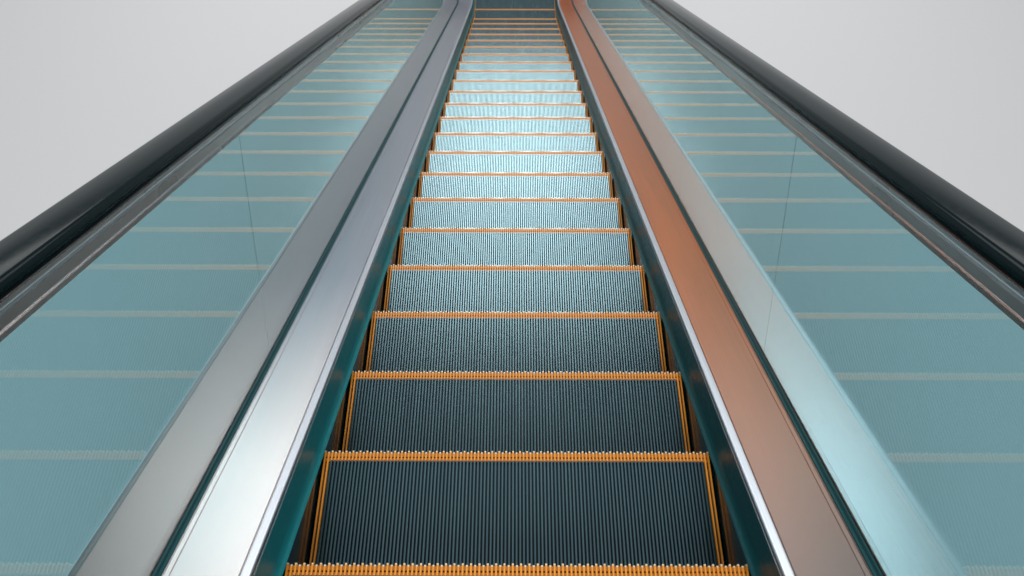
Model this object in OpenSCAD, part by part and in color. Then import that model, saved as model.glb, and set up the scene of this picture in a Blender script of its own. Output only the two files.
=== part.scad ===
// Escalator with glass balustrades, between two floors. The step band, the handrails,
// the truss and its cladding are separate pieces, and everything is at its real size.
// X runs across the steps, Y towards the upper landing and Z up. The origin is the
// middle of the underside of the lower bearing flange, on the structural floor.
// Everything under that floor, in the pit of the building, is left out.

/* [Travel] */
// Height from the lower to the upper finished floor
rise = 5000; // [4000:100:6000]
// Slope of the step band, in degrees
incline = 30; // [27:0.5:32]
// Radius of the lower bend of the step path
lower_radius = 1200; // [1000:50:1500]
// Radius of the upper bend of the step path
upper_radius = 1500; // [1200:50:2000]
// Length of the level run of steps at each landing
level_run = 800; // [600:50:1200]
// Height of the finished floor over the structural floor
finish_depth = 150; // [140:5:200]

/* [Steps] */
// Width of a step
step_width = 1000; // [800:50:1200]
// Distance from one step to the next along the path
step_pitch = 400; // [380:1:420]
// Gap between a tread and the riser behind it
step_gap = 4; // [3:0.5:6]
// Thickness of the tread plate with its cleats
tread_thickness = 26; // [22:1:34]
// Height of a cleat over the bottom of its groove
cleat_height = 11; // [8:1:14]
// Width of a cleat
cleat_width = 4; // [2.5:0.5:5]
// Spacing of the modelled tread cleats, every second one of the real step
cleat_pitch = 18; // [14:1:36]
// Thickness of the curved riser with its cleats
riser_thickness = 9; // [8:1:14]
// Height of a riser cleat
riser_cleat_height = 5; // [3:1:6]
// Number of tread cleats for each modelled riser cleat
riser_cleat_share = 3; // [1:1:6]
// Thickness of the side frame of a step
frame_thickness = 12; // [8:1:18]
// Diameter of the step rollers
roller_diameter = 76; // [60:1:90]
// Width of a step roller
roller_width = 26; // [20:1:32]
// Diameter of the step axle
axle_diameter = 24; // [18:1:30]

/* [Landings] */
// Height of the comb plate top over the treads
comb_rise = 16; // [14:1:24]
// Thickness of the comb plate
comb_plate_thickness = 11; // [8:1:12]
// Length of the comb plate along the travel
comb_plate_length = 210; // [180:5:260]
// Length of the comb teeth over the first step
comb_tooth_length = 60; // [40:5:80]
// How deep the comb teeth reach into the grooves
comb_mesh = 7; // [4:1:10]
// Thickness of the floor plates
floor_plate_thickness = 28; // [20:1:40]
// Length of floor plate from the comb plate to the bearing
floor_plate_length = 1120; // [900:10:1500]
// Distance from the comb line to the end of the deck
newel_length = 560; // [450:10:700]

/* [Balustrade] */
// Gap between a step and the skirt
skirt_gap = 3.5; // [2:0.5:4]
// Thickness of the skirt sheet
skirt_thickness = 3; // [2:0.5:5]
// Height of the deck top over the nosing line
deck_height = 165; // [130:5:220]
// Width of the rounded edge profile beside the skirt
trim_width = 22; // [16:1:30]
// Width of the inner deck
inner_deck_width = 134; // [80:2:180]
// Width of the outer deck
outer_deck_width = 146; // [80:2:180]
// Thickness of the deck sheets
deck_thickness = 4; // [2:0.5:6]
// Thickness of the glass
glass_thickness = 12; // [10:1:16]
// Width of the seal on each side of the glass
seal_width = 20; // [12:1:26]
// Height of the seal over the deck
seal_height = 20; // [10:1:30]
// Depth of the channel that clamps the glass
clamp_depth = 70; // [50:5:90]
// Width of a glass panel
glass_panel_width = 1300; // [1000:50:1600]
// Joint between glass panels
glass_joint = 4; // [2:1:8]

/* [Handrail] */
// Height of the handrail top over the nosing line
handrail_height = 1010; // [900:10:1100]
// Width of the handrail
handrail_width = 84; // [76:1:90]
// Thickness of the handrail
handrail_thickness = 36; // [30:1:40]
// Height of the metal guide under the handrail lips
guide_drop = 60; // [50:1:70]
// Radius of the handrail top round the newel
newel_radius = 400; // [380:5:430]
// Radius of the bends that take the returning handrail under the deck
swing_radius = 350; // [300:10:400]
// Side clearance of the handrail in its inlet
inlet_clearance = 4; // [2:0.5:8]
// Wall of the inlet housing
inlet_wall = 5; // [3:0.5:8]

/* [Truss] */
// Depth of the body under the nosing line
body_depth = 1100; // [1000:10:1300]
// Depth of the upper end under the finished floor
upper_end_depth = 1050; // [950:10:1200]
// Width and height of the truss chords
chord_size = 80; // [60:5:100]
// Size of the truss posts and diagonals
brace_size = 50; // [40:5:60]
// Spacing of the truss posts
post_spacing = 1250; // [1000:50:1600]
// Thickness of the side and soffit panels
panel_thickness = 12; // [8:1:20]
// Joint between panels
panel_joint = 6; // [4:1:10]
// Width of a side panel
panel_width = 1800; // [1400:50:2400]

/* [Bearings] */
// Length of the bearing flange along the travel
flange_length = 160; // [140:5:220]
// Thickness of the bearing flange
flange_thickness = 20; // [15:1:30]
// Diameter of a bearing bolt hole
bolt_hole = 22; // [18:1:30]
// Distance between the outer bolt holes
bolt_span = 1300; // [1100:10:1350]
// Distance between the inner bolt holes
inner_bolt_span = 440; // [300:10:800]

/* [Hidden] */
$fn = 64;

// Running clearance between a roller and its track
roller_clearance = 0.3;
// Steps of every arc in a side outline
arc_steps = 16;
step_groups = 8;
// Clearance between an outline with short straight sides and a true bend
edge_clearance = 0.4;
// Hairline joint where a straight length of a run meets a bend
run_joint = 0.02;

// The step path: the line of the tread tops, level, sloping and level again
tread_level = finish_depth - comb_rise;
lower_tangent = lower_radius * tan(incline / 2);
upper_tangent = upper_radius * tan(incline / 2);
lower_comb_y = flange_length / 2 + floor_plate_length + comb_plate_length;
lower_bend_y = lower_comb_y + level_run;
lower_kink_y = lower_bend_y + lower_tangent;
upper_kink_y = lower_kink_y + rise / tan(incline);
upper_bend_y = upper_kink_y + upper_tangent;
upper_comb_y = upper_bend_y + level_run;
upper_end_y = upper_comb_y + comb_plate_length + floor_plate_length;
upper_bearing_y = upper_end_y + flange_length / 2;
lower_end_y = flange_length / 2;
truss_end_y = upper_end_y - panel_thickness;
slope_length = rise / sin(incline) - lower_tangent - upper_tangent;
lower_arc_length = lower_radius * incline * PI / 180;
upper_arc_length = upper_radius * incline * PI / 180;

// Stations along the path
lower_deck_end = lower_comb_y - newel_length;
upper_deck_end = upper_comb_y + newel_length;

// Widths from the middle outwards
skirt_x = step_width / 2 + skirt_gap;
trim_x = skirt_x + trim_width;
seal_x = trim_x + inner_deck_width;
glass_x = seal_x + seal_width + glass_thickness / 2;
outer_seal_x = glass_x + glass_thickness / 2 + seal_width;
deck_edge_x = outer_seal_x + outer_deck_width;
panel_x = deck_edge_x - panel_thickness;
truss_x = panel_x - panel_joint - chord_size;

// Step parts, from the nosing
axle_y = step_pitch - 50;
axle_z = -tread_thickness - axle_diameter / 2 - 22;
trail_y = 116;
trail_z = -240;
frame_x = step_width / 2 - 60;
roller_x = step_width / 2 + 30;
trail_roller_x = frame_x + frame_thickness + 2;
riser_sweep = 33;

// Points of an arc in the side view
function arc_points(middle, radius, from, to, steps = arc_steps) =
    [for (i = [0:steps]) middle + radius * [cos(from + (to - from) * i / steps),
                                            sin(from + (to - from) * i / steps)]];

// The line at one height over the step path, moved off it at right angles, from y_from to y_to
function travel_line(height, off, y_from, y_to) = concat(
    [[y_from, tread_level + height + off]],
    arc_points([lower_bend_y, tread_level + height + lower_radius], lower_radius - off,
               -90, incline - 90),
    arc_points([upper_bend_y, tread_level + rise + height - upper_radius], upper_radius + off,
               90 + incline, 90),
    [[y_to, tread_level + rise + height + off]]
);

function reversed(points) = [for (i = [len(points) - 1:-1:0]) points[i]];
function shifted(points, by) = [for (p = points) p + by];

// Height of the sloping nosing line, carried on past its bends
function slope_z(y) = tread_level + (y - lower_kink_y) * tan(incline);

// Height at y of the line at one height over the step path, moved off it at right angles
function line_z(y, height, off) =
    let (low = lower_radius - off, high = upper_radius + off)
    y <= lower_bend_y ? tread_level + height + off
    : y <= lower_bend_y + low * sin(incline)
        ? tread_level + height + lower_radius - sqrt(low ^ 2 - (y - lower_bend_y) ^ 2)
    : y < upper_bend_y - high * sin(incline) ? slope_z(y) + height + off / cos(incline)
    : y < upper_bend_y
        ? tread_level + rise + height - upper_radius + sqrt(high ^ 2 - (upper_bend_y - y) ^ 2)
    : tread_level + rise + height + off;

// A place on the step path, at a length from the lower comb line
function path_place(s) =
    let (s1 = s - level_run, s2 = s1 - lower_arc_length, s3 = s2 - slope_length,
         s4 = s3 - upper_arc_length)
    s1 <= 0 ? [lower_comb_y + s, tread_level]
    : s2 <= 0 ? [lower_bend_y, tread_level + lower_radius]
        + lower_radius * [sin(s1 / lower_radius * 180 / PI), -cos(s1 / lower_radius * 180 / PI)]
    : s3 <= 0 ? [lower_bend_y, tread_level + lower_radius]
        + lower_radius * [sin(incline), -cos(incline)] + s2 * [cos(incline), sin(incline)]
    : s4 <= 0 ? [upper_bend_y, tread_level + rise - upper_radius]
        + upper_radius * [-sin(incline - s3 / upper_radius * 180 / PI),
                          cos(incline - s3 / upper_radius * 180 / PI)]
    : [upper_bend_y + s4, tread_level + rise];

path_length = 2 * level_run + lower_arc_length + slope_length + upper_arc_length;
first_step = -150;
step_count = floor((path_length - first_step - step_pitch / 2) / step_pitch) + 1;

// Moves of a run that follows the travel: a length and no turn, or a radius and a turn
function travel_moves(y_from, y_to) = [
    [lower_bend_y - y_from, 0],
    [lower_radius, incline],
    [slope_length, 0],
    [upper_radius, -incline],
    [y_to - upper_bend_y, 0]
];

// A section carried along moves in the side plane. The section is drawn with X across
// and Y at right angles to the run.
module follow(moves, i = 0) {
    if (i < len(moves)) {
        size = moves[i][0];
        turn = moves[i][1];
        if (turn == 0) {
            if (size > 2 * run_joint)
                translate([0, size - run_joint, 0])
                    rotate([90, 0, 0])
                        linear_extrude(size - 2 * run_joint) children();
            translate([0, size, 0])
                follow(moves, i + 1) children();
        }
        if (turn > 0) {
            translate([0, 0, size])
                rotate([0, 90, 0])
                    rotate_extrude(angle = turn) translate([size, 0]) rotate(90) children();
            translate([0, size * sin(turn), size * (1 - cos(turn))])
                rotate([turn, 0, 0])
                    follow(moves, i + 1) children();
        }
        if (turn < 0) {
            translate([0, 0, -size])
                rotate([0, -90, 0])
                    rotate_extrude(angle = -turn) translate([size, 0]) rotate(-90) children();
            translate([0, -size * sin(turn), -size * (1 - cos(turn))])
                rotate([turn, 0, 0])
                    follow(moves, i + 1) children();
        }
    }
}

// A section along the whole travel at one height over the step path
module along_travel(height, y_from, y_to) {
    translate([0, y_from, tread_level + height])
        follow(travel_moves(y_from, y_to)) children();
}

// A side outline of Y and Z, thick in X from x_from
module side_plate(x_from, thickness, points) {
    translate([x_from, 0, 0])
        rotate([90, 0, 90])
            linear_extrude(thickness) polygon(points);
}

// A band of one thickness that follows the travel, thick in X from x_from
module travel_band(x_from, width, height, off, thickness, y_from, y_to, shift = [0, 0]) {
    side_plate(x_from, width, shifted(concat(
        travel_line(height, off - thickness, y_from - shift[0], y_to - shift[0]),
        reversed(travel_line(height, off, y_from - shift[0], y_to - shift[0]))), shift));
}

// What stands over the structural floor
module above_floor() {
    intersection() {
        children();
        translate([-2000, -1000, 0]) cube([4000, upper_end_y + 2000, rise + 3000]);
    }
}

// The left piece stands at negative X and the right one is its mirror image
module mirrored_side(side) {
    mirror([side == "left" ? 1 : 0, 0, 0]) children();
}

// Bearings
module bearing() {
    color("dimgray")
    difference() {
        translate([-truss_x - chord_size, -flange_length / 2, 0])
            cube([2 * (truss_x + chord_size), flange_length, flange_thickness]);
        for (x = [-bolt_span / 2, -inner_bolt_span / 2, inner_bolt_span / 2, bolt_span / 2])
            translate([x, 0, -1]) cylinder(d = bolt_hole, h = flange_thickness + 2);
    }
}

module lower_bearing() {
    bearing();
}

module upper_bearing() {
    translate([0, upper_bearing_y, rise]) bearing();
}

// Truss
// How far the bend of a line moves for each unit that the line is offset
bend_shift = (1 / cos(incline) - 1) / tan(incline);
chord_top = comb_rise - floor_plate_thickness;
bottom_exit_y = lower_kink_y + (body_depth - tread_level) / tan(incline);
upper_bottom_z = rise + finish_depth - upper_end_depth;
bottom_kink_y = lower_kink_y + (upper_bottom_z + body_depth - tread_level) / tan(incline);
post_first_y = lower_comb_y + 420;
// How much thinner a diagonal is than a post
brace_step = 10;
post_count = floor((upper_end_y - chord_size - post_first_y) / post_spacing);
function bottom_z(y) = max(0, min(upper_bottom_z, slope_z(y) - body_depth));
function post_y(i) = post_first_y + i * post_spacing;
function chord_under_z(y) = line_z(y, chord_top, -chord_size / 2);
function chord_over_bottom_z(y) = bottom_z(y) + chord_size / 2;

// The outline of a straight bar in the side plane
function bar_outline(from, to, size) =
    let (run = to - from, half = [-run[1], run[0]] / norm(run) * size / 2)
    [from - half, to - half, to + half, from + half];

module truss_side() {
    color("gray")
    above_floor()
    union() {
        travel_band(truss_x, chord_size, chord_top, 0, chord_size, lower_end_y, truss_end_y);
        side_plate(truss_x, chord_size, [
            [bottom_exit_y, 0],
            [bottom_kink_y, upper_bottom_z],
            [truss_end_y, upper_bottom_z],
            [truss_end_y, upper_bottom_z + chord_size],
            [bottom_kink_y - chord_size * bend_shift, upper_bottom_z + chord_size],
            [bottom_exit_y - chord_size / sin(incline), 0]
        ]);
        for (i = [0:post_count])
            side_plate(truss_x, brace_size, bar_outline(
                [post_y(i), chord_over_bottom_z(post_y(i))],
                [post_y(i), chord_under_z(post_y(i))], brace_size));
        for (i = [1:post_count])
            side_plate(truss_x, brace_size - brace_step, bar_outline(
                [post_y(i - 1), chord_over_bottom_z(post_y(i - 1))],
                [post_y(i), chord_under_z(post_y(i))], brace_size));
        translate([truss_x, truss_end_y - chord_size, upper_bottom_z])
            cube([chord_size, chord_size, rise + tread_level + chord_top - upper_bottom_z]);
        translate([truss_x, lower_end_y, 0])
            cube([chord_size, chord_size, tread_level + chord_top]);
    }
}

module truss_left() {
    mirrored_side("left") truss_side();
}

module truss_right() {
    mirrored_side("right") truss_side();
}

// Beams between the two truss sides, low down at every post
module truss_cross_beams() {
    color("gray")
    for (i = [0:post_count])
        if (bottom_z(post_y(i)) > 0)
            translate([-truss_x, post_y(i) - brace_size / 2, bottom_z(post_y(i)) + chord_size])
                cube([2 * truss_x, brace_size, brace_size]);
}

// Beams that carry the floor plate and the comb plate of a landing
module landing_beams(level, y_list) {
    color("gray")
    for (y = y_list)
        translate([-truss_x, y, level + chord_top - chord_size])
            cube([2 * truss_x, brace_size, chord_size]);
}

module lower_landing_beams() {
    landing_beams(tread_level, [lower_end_y, lower_comb_y - comb_plate_length - brace_size,
                                lower_end_y + floor_plate_length / 2]);
}

module upper_landing_beams() {
    landing_beams(tread_level + rise, [truss_end_y - brace_size,
                                       upper_comb_y + comb_plate_length,
                                       upper_end_y - floor_plate_length / 2]);
}

module upper_end_plate() {
    color("silver")
    translate([-truss_x - chord_size, truss_end_y, upper_bottom_z])
        cube([2 * (truss_x + chord_size), panel_thickness,
              rise + tread_level + chord_top - upper_bottom_z]);
}

// Tracks of the step rollers with their arms to the truss
rail_thickness = 8;
rail_drop = roller_diameter / 2 + roller_clearance;
arm_depth = 22;
module rail(x_middle, y, z, y_from, y_to) {
    travel_band(x_middle - roller_width, 2 * roller_width, z, -rail_drop, rail_thickness,
                y_from, y_to, [y, 0]);
}

module track_side() {
    color("gray")
    above_floor()
    union() {
        rail(roller_x + roller_width / 2, axle_y, axle_z, lower_comb_y - comb_plate_length,
             upper_comb_y + comb_plate_length);
        rail(trail_roller_x + roller_width / 2, trail_y, trail_z, lower_comb_y, upper_comb_y);
        for (i = [0:post_count])
            if (post_y(i) < upper_comb_y) track_arm(post_y(i));
    }
}

// A plate that carries both rails from a truss post
module track_arm(y) {
    rail_off = -rail_drop - rail_thickness / 2;
    main_z = line_z(y - axle_y, axle_z, rail_off);
    trail_rail_z = line_z(y - trail_y, trail_z, rail_off);
    inner_x = trail_roller_x;
    step_x = roller_x - roller_width / 2;
    translate([0, y + brace_size / 4, 0])
        rotate([90, 0, 0])
            linear_extrude(brace_size / 4)
                polygon([[inner_x, trail_rail_z - 2 * arm_depth], [truss_x, main_z - 3 * arm_depth],
                         [truss_x, main_z], [step_x, main_z],
                         [step_x, trail_rail_z], [inner_x, trail_rail_z]]);
}

module track_left() {
    mirrored_side("left") track_side();
}

module track_right() {
    mirrored_side("right") track_side();
}

// Side cladding
clad_top = -deck_thickness - edge_clearance;
module side_panels() {
    outline = concat(
        [[lower_deck_end, 0], [bottom_exit_y, 0], [bottom_kink_y, upper_bottom_z],
         [upper_end_y, upper_bottom_z], [upper_end_y, tread_level + rise + chord_top],
         [upper_deck_end, tread_level + rise + chord_top]],
        reversed(travel_line(deck_height, clad_top, lower_deck_end, upper_deck_end))
    );
    color("lightgray")
    difference() {
        side_plate(panel_x, panel_thickness, outline);
        for (y = [lower_deck_end + panel_width:panel_width:upper_end_y - panel_width / 3])
            translate([panel_x - 1, y, -1])
                cube([panel_thickness + 2, panel_joint, rise + 2 * deck_height + 500]);
    }
}

module side_panels_left() {
    mirrored_side("left") side_panels();
}

module side_panels_right() {
    mirrored_side("right") side_panels();
}

module soffit_panels() {
    half = panel_x - 1;
    color("lightgray")
    above_floor()
    difference() {
        side_plate(-half, 2 * half, [
            [bottom_exit_y, 0],
            [bottom_kink_y, upper_bottom_z],
            [upper_end_y, upper_bottom_z],
            [upper_end_y, upper_bottom_z - panel_thickness],
            [bottom_kink_y + panel_thickness * bend_shift, upper_bottom_z - panel_thickness],
            [bottom_exit_y + panel_thickness / sin(incline), 0]
        ]);
        for (y = [bottom_exit_y + panel_width:panel_width:upper_end_y - panel_width / 3])
            translate([-half - 1, y, -1])
                cube([2 * half + 2, panel_joint, rise + 500]);
    }
}

// Landings
plate_half = skirt_x - 2;
module floor_plate() {
    color("silver")
    union() {
        translate([-deck_edge_x, lower_end_y, -floor_plate_thickness])
            cube([2 * deck_edge_x, lower_deck_end - lower_end_y - 2, floor_plate_thickness]);
        translate([-plate_half, lower_end_y, -floor_plate_thickness])
            cube([2 * plate_half, floor_plate_length - edge_clearance, floor_plate_thickness]);
    }
}

comb_tip_thickness = 2;
comb_root = 20;
comb_groove_room = 1.5;
module comb_plate() {
    tooth_width = cleat_pitch / 2 - cleat_width - comb_groove_room;
    teeth = floor((step_width / 2 - cleat_width) / cleat_pitch);
    tip_z = -comb_rise - comb_mesh;
    color("silver")
    union() {
        translate([-plate_half, lower_comb_y - comb_plate_length, -comb_plate_thickness])
            cube([2 * plate_half, comb_plate_length, comb_plate_thickness]);
        for (i = [-teeth:teeth - 1])
            side_plate((i + 0.5) * cleat_pitch - tooth_width / 2, tooth_width, [
                [lower_comb_y - comb_root, -comb_plate_thickness / 2],
                [lower_comb_y + comb_plate_thickness / 2, -comb_plate_thickness / 2],
                [lower_comb_y + comb_tooth_length, tip_z + comb_tip_thickness],
                [lower_comb_y + comb_tooth_length, tip_z],
                [lower_comb_y + comb_root, tip_z],
                [lower_comb_y - comb_root, -comb_plate_thickness - 1]
            ]);
    }
}

// A piece of the lower landing, turned round for the upper one
module at_upper_landing() {
    translate([0, lower_comb_y + upper_comb_y, rise]) mirror([0, 1, 0]) children();
}

module lower_floor_plate() {
    translate([0, 0, finish_depth]) floor_plate();
}

module upper_floor_plate() {
    at_upper_landing() translate([0, 0, finish_depth]) floor_plate();
}

module lower_comb_plate() {
    translate([0, 0, finish_depth]) comb_plate();
}

module upper_comb_plate() {
    at_upper_landing() translate([0, 0, finish_depth]) comb_plate();
}

// Skirts
skirt_top = -trim_width * 0.75;
axle_room = 8;
module skirt() {
    top = travel_line(deck_height, skirt_top - edge_clearance, lower_deck_end, upper_deck_end);
    plate_end = lower_comb_y - comb_plate_length;
    upper_plate_end = upper_comb_y + comb_plate_length;
    bottom = shifted(travel_line(axle_z + axle_diameter / 2 + axle_room, 0, plate_end - axle_y,
                                 upper_plate_end - axle_y), [axle_y, 0]);
    low_end = [[lower_deck_end, tread_level + chord_top], [plate_end, tread_level + chord_top]];
    high_end = [[upper_plate_end, tread_level + rise + chord_top],
                [upper_deck_end, tread_level + rise + chord_top]];
    color("darkslategray")
    side_plate(skirt_x, skirt_thickness, concat(low_end, bottom, high_end, reversed(top)));
}

module skirt_left() {
    mirrored_side("left") skirt();
}

module skirt_right() {
    mirrored_side("right") skirt();
}

// The rounded profile over the skirt
trim_depth = -skirt_top;
trim_joint = 3;
trim_foot = 10;
module trim_section() {
    top_x = trim_x - trim_joint;
    foot_z = -deck_thickness - edge_clearance;
    polygon(concat(
        [[top_x, -trim_depth], [top_x, foot_z - 4], [trim_x + trim_foot, foot_z - 4],
         [trim_x + trim_foot, foot_z], [top_x, foot_z], [top_x, -1]],
        [for (i = [0:6]) [top_x - 1 - (top_x - 1 - skirt_x) * sin(i * 15),
                          -trim_depth + trim_depth * cos(i * 15)]]
    ));
}

module edge_trim() {
    color("whitesmoke")
    along_travel(deck_height, lower_deck_end, upper_deck_end) trim_section();
}

module edge_trim_left() {
    mirrored_side("left") edge_trim();
}

module edge_trim_right() {
    mirrored_side("right") edge_trim();
}

// Decks
module deck_sheet(x_from, width) {
    difference() {
        along_travel(deck_height, lower_deck_end, upper_deck_end)
            translate([x_from, -deck_thickness]) square([width, deck_thickness]);
        inlet_slot(inlet_half - inlet_wall);
        at_upper_landing() inlet_slot(inlet_half - inlet_wall);
    }
}

// The room for the handrail that goes down through the deck at its inlet
inlet_half = handrail_width / 2 + inlet_clearance + inlet_wall;
module inlet_slot(half) {
    translate([glass_x - half, lower_deck_end - 1, tread_level + deck_height - 2 * deck_thickness])
        cube([2 * half, swing_end_y - lower_deck_end, 3 * deck_thickness]);
}

module inner_deck_left() {
    color("rosybrown") mirrored_side("left") deck_sheet(trim_x, inner_deck_width);
}

module inner_deck_right() {
    color("lightsteelblue") mirrored_side("right") deck_sheet(trim_x, inner_deck_width);
}

module outer_deck_left() {
    color("lightsteelblue") mirrored_side("left") deck_sheet(outer_seal_x, outer_deck_width);
}

module outer_deck_right() {
    color("lightsteelblue") mirrored_side("right") deck_sheet(outer_seal_x, outer_deck_width);
}

// The channel that clamps the glass, and the seals on it
glass_seat = 15;
module clamp_section() {
    difference() {
        translate([seal_x, -clamp_depth]) square([outer_seal_x - seal_x, clamp_depth]);
        translate([glass_x - glass_thickness / 2, -clamp_depth + glass_seat])
            square([glass_thickness, clamp_depth]);
    }
}

module glass_clamp() {
    color("gray")
    along_travel(deck_height, swing_end_y, upper_swing_end_y) clamp_section();
}

// Brackets that carry the clamp from the top chord of the truss. They reach round
// the returning handrail, and stand beyond the stretch where it rises to the inlet.
bracket_length = 60;
bracket_thickness = 10;
slope_brackets = 7;
bracket_x = glass_x + handrail_width / 2 + bracket_thickness;
function bracket_places() = concat(
    [for (i = [0.5:slope_brackets])
        lower_kink_y + i * (upper_kink_y - lower_kink_y) / slope_brackets],
    [upper_bend_y + bracket_length, upper_swing_end_y - 2 * bracket_length]
);

// A bar of one bracket, between two lines over the step path
module bracket_bar(y, x_from, x_to, low, high) {
    side_plate(x_from, x_to - x_from, [
        [y, line_z(y, low[0], low[1])],
        [y + bracket_length, line_z(y + bracket_length, low[0], low[1])],
        [y + bracket_length, line_z(y + bracket_length, high[0], high[1])],
        [y, line_z(y, high[0], high[1])]
    ]);
}

module balustrade_brackets() {
    foot = [chord_top, edge_clearance];
    head = [deck_height, -clamp_depth - edge_clearance];
    thick = [0, bracket_thickness];
    color("gray")
    for (y = bracket_places())
        union() {
            bracket_bar(y, bracket_x, truss_x + chord_size, foot, foot + thick);
            bracket_bar(y, bracket_x, bracket_x + bracket_thickness, foot, head);
            bracket_bar(y, glass_x, bracket_x + bracket_thickness, head - thick, head);
        }
}

module balustrade_brackets_left() {
    mirrored_side("left") balustrade_brackets();
}

module balustrade_brackets_right() {
    mirrored_side("right") balustrade_brackets();
}

module glass_clamp_left() {
    mirrored_side("left") glass_clamp();
}

module glass_clamp_right() {
    mirrored_side("right") glass_clamp();
}

// A seal beside the glass, low at its outer lip and high at the glass
module seal_section() {
    lip_height = seal_height * 0.45;
    translate([glass_thickness / 2, 0])
        polygon([[0, 0], [seal_width, 0], [seal_width, lip_height],
                 [seal_width * 0.7, lip_height], [seal_width * 0.2, seal_height],
                 [0, seal_height]]);
}

module glass_seal() {
    color("teal")
    for (side = [-1, 1])
        along_travel(deck_height, swing_end_y, upper_swing_end_y)
            translate([glass_x, 0]) scale([side, 1]) seal_section();
}

module glass_seal_left() {
    mirrored_side("left") glass_seal();
}

module glass_seal_right() {
    mirrored_side("right") glass_seal();
}

// Glass panels with a round end inside the handrail loop
rail_height = handrail_height - handrail_thickness / cos(incline);
loop_radius = newel_radius - handrail_thickness;
loop_bottom = rail_height - 2 * loop_radius;
return_height = 25;
loop_drop = loop_bottom - return_height;
swing_angle = acos(1 - loop_drop / 2 / swing_radius);
swing_run = 2 * swing_radius * sin(swing_angle);
inlet_run = 40;
newel_y = lower_deck_end + 40;
upper_newel_y = upper_deck_end - 40;
swing_end_y = newel_y + inlet_run + swing_run;
upper_swing_end_y = upper_newel_y - inlet_run - swing_run;
guide_inset = guide_drop - 12;
glass_top = -guide_inset - edge_clearance;
module glass() {
    outline = concat(
        arc_points([newel_y, tread_level + rail_height - loop_radius],
                   loop_radius - guide_inset, 270, 90),
        travel_line(rail_height, glass_top, newel_y + 1, upper_newel_y - 1),
        arc_points([upper_newel_y, tread_level + rise + rail_height - loop_radius],
                   loop_radius - guide_inset, 90, -90),
        [[upper_swing_end_y, tread_level + rise + loop_bottom + guide_inset]],
        reversed(travel_line(deck_height, -clamp_depth + glass_seat + edge_clearance,
                             swing_end_y, upper_swing_end_y)),
        [[swing_end_y, tread_level + loop_bottom + guide_inset]]
    );
    joint_count = floor((slope_length - glass_panel_width / 2) / glass_panel_width);
    color("lightcyan", 0.4)
    difference() {
        side_plate(glass_x - glass_thickness / 2, glass_thickness, outline);
        translate([0, lower_bend_y, tread_level])
            glass_gap(0);
        for (i = [0:joint_count])
            translate([0, lower_kink_y + (lower_tangent + (i + 0.3) * glass_panel_width)
                       * cos(incline),
                       slope_z(lower_kink_y + (lower_tangent + (i + 0.3) * glass_panel_width)
                       * cos(incline))])
                glass_gap(incline);
        translate([0, upper_bend_y, tread_level + rise])
            glass_gap(0);
    }
}

module glass_gap(slope) {
    rotate([slope, 0, 0])
        translate([glass_x - glass_thickness, -glass_joint / 2, -200])
            cube([2 * glass_thickness, glass_joint, handrail_height + 500]);
}

module glass_left() {
    mirrored_side("left") glass();
}

module glass_right() {
    mirrored_side("right") glass();
}

// The closed handrail loop: over the glass, round both newels and back under the deck
function loop_moves() = concat(
    travel_moves(newel_y, upper_newel_y),
    [[loop_radius, -180], [inlet_run, 0], [swing_radius, swing_angle], [2 * run_joint, 0],
     [swing_radius, -swing_angle]],
    [[upper_newel_y - inlet_run - swing_run - upper_bend_y, 0], [upper_radius, incline],
     [slope_length, 0], [lower_radius, -incline],
     [lower_bend_y - newel_y - inlet_run - swing_run, 0]],
    [[swing_radius, -swing_angle], [2 * run_joint, 0], [swing_radius, swing_angle],
     [inlet_run, 0], [loop_radius, -180]]
);

// The room inside the handrail for the head of its guide
cavity_bottom = 9;
cavity_top = 19;
module handrail_section() {
    half = handrail_width / 2;
    corner = handrail_thickness * 0.45;
    inner_half = half - 12;
    lip_half = half - 20;
    polygon(concat(
        [for (i = [0:5]) [half - corner + corner * cos(i * 18),
                          handrail_thickness - corner + corner * sin(i * 18)]],
        [for (i = [0:5]) [-half + corner - corner * sin(i * 18),
                          handrail_thickness - corner + corner * cos(i * 18)]],
        [for (i = [0:5]) [-half + corner - corner * cos(i * 18), corner - corner * sin(i * 18)]],
        [[-lip_half, 0], [-lip_half, cavity_bottom], [-inner_half, cavity_bottom],
         [-inner_half, cavity_top], [inner_half, cavity_top], [inner_half, cavity_bottom],
         [lip_half, cavity_bottom], [lip_half, 0]],
        [for (i = [0:5]) [half - corner + corner * sin(i * 18), corner - corner * cos(i * 18)]]
    ));
}

module handrail() {
    color([0.06, 0.06, 0.06])
    translate([glass_x, newel_y, tread_level + rail_height])
        follow(loop_moves()) handrail_section();
}

module handrail_left() {
    mirrored_side("left") handrail();
}

module handrail_right() {
    mirrored_side("right") handrail();
}

// The metal guide on the glass edge, inside the handrail
module guide_section() {
    half_body = handrail_width / 2 - 21;
    half_head = handrail_width / 2 - 14;
    foot = glass_thickness / 2 + 6;
    right = [
        [half_head, cavity_top], [half_head, cavity_bottom + 3], [half_body, cavity_bottom + 3],
        [half_body, -14], [half_body - 6, -16], [half_body - 6, -21], [half_body, -23],
        [half_body, -guide_drop + 17], [foot, -guide_drop + 9], [foot, -guide_drop],
        [glass_thickness / 2, -guide_drop], [glass_thickness / 2, -guide_inset]
    ];
    polygon(concat(right, reversed([for (p = right) [-p[0], p[1]]])));
}

module handrail_guide() {
    color("silver")
    translate([glass_x, newel_y, tread_level + rail_height])
        union() {
            follow(concat(travel_moves(newel_y, upper_newel_y), [[loop_radius, -180]]))
                guide_section();
            mirror([0, 1, 0])
                follow([[loop_radius, -180]]) guide_section();
        }
}

module handrail_guide_left() {
    mirrored_side("left") handrail_guide();
}

module handrail_guide_right() {
    mirrored_side("right") handrail_guide();
}

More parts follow.
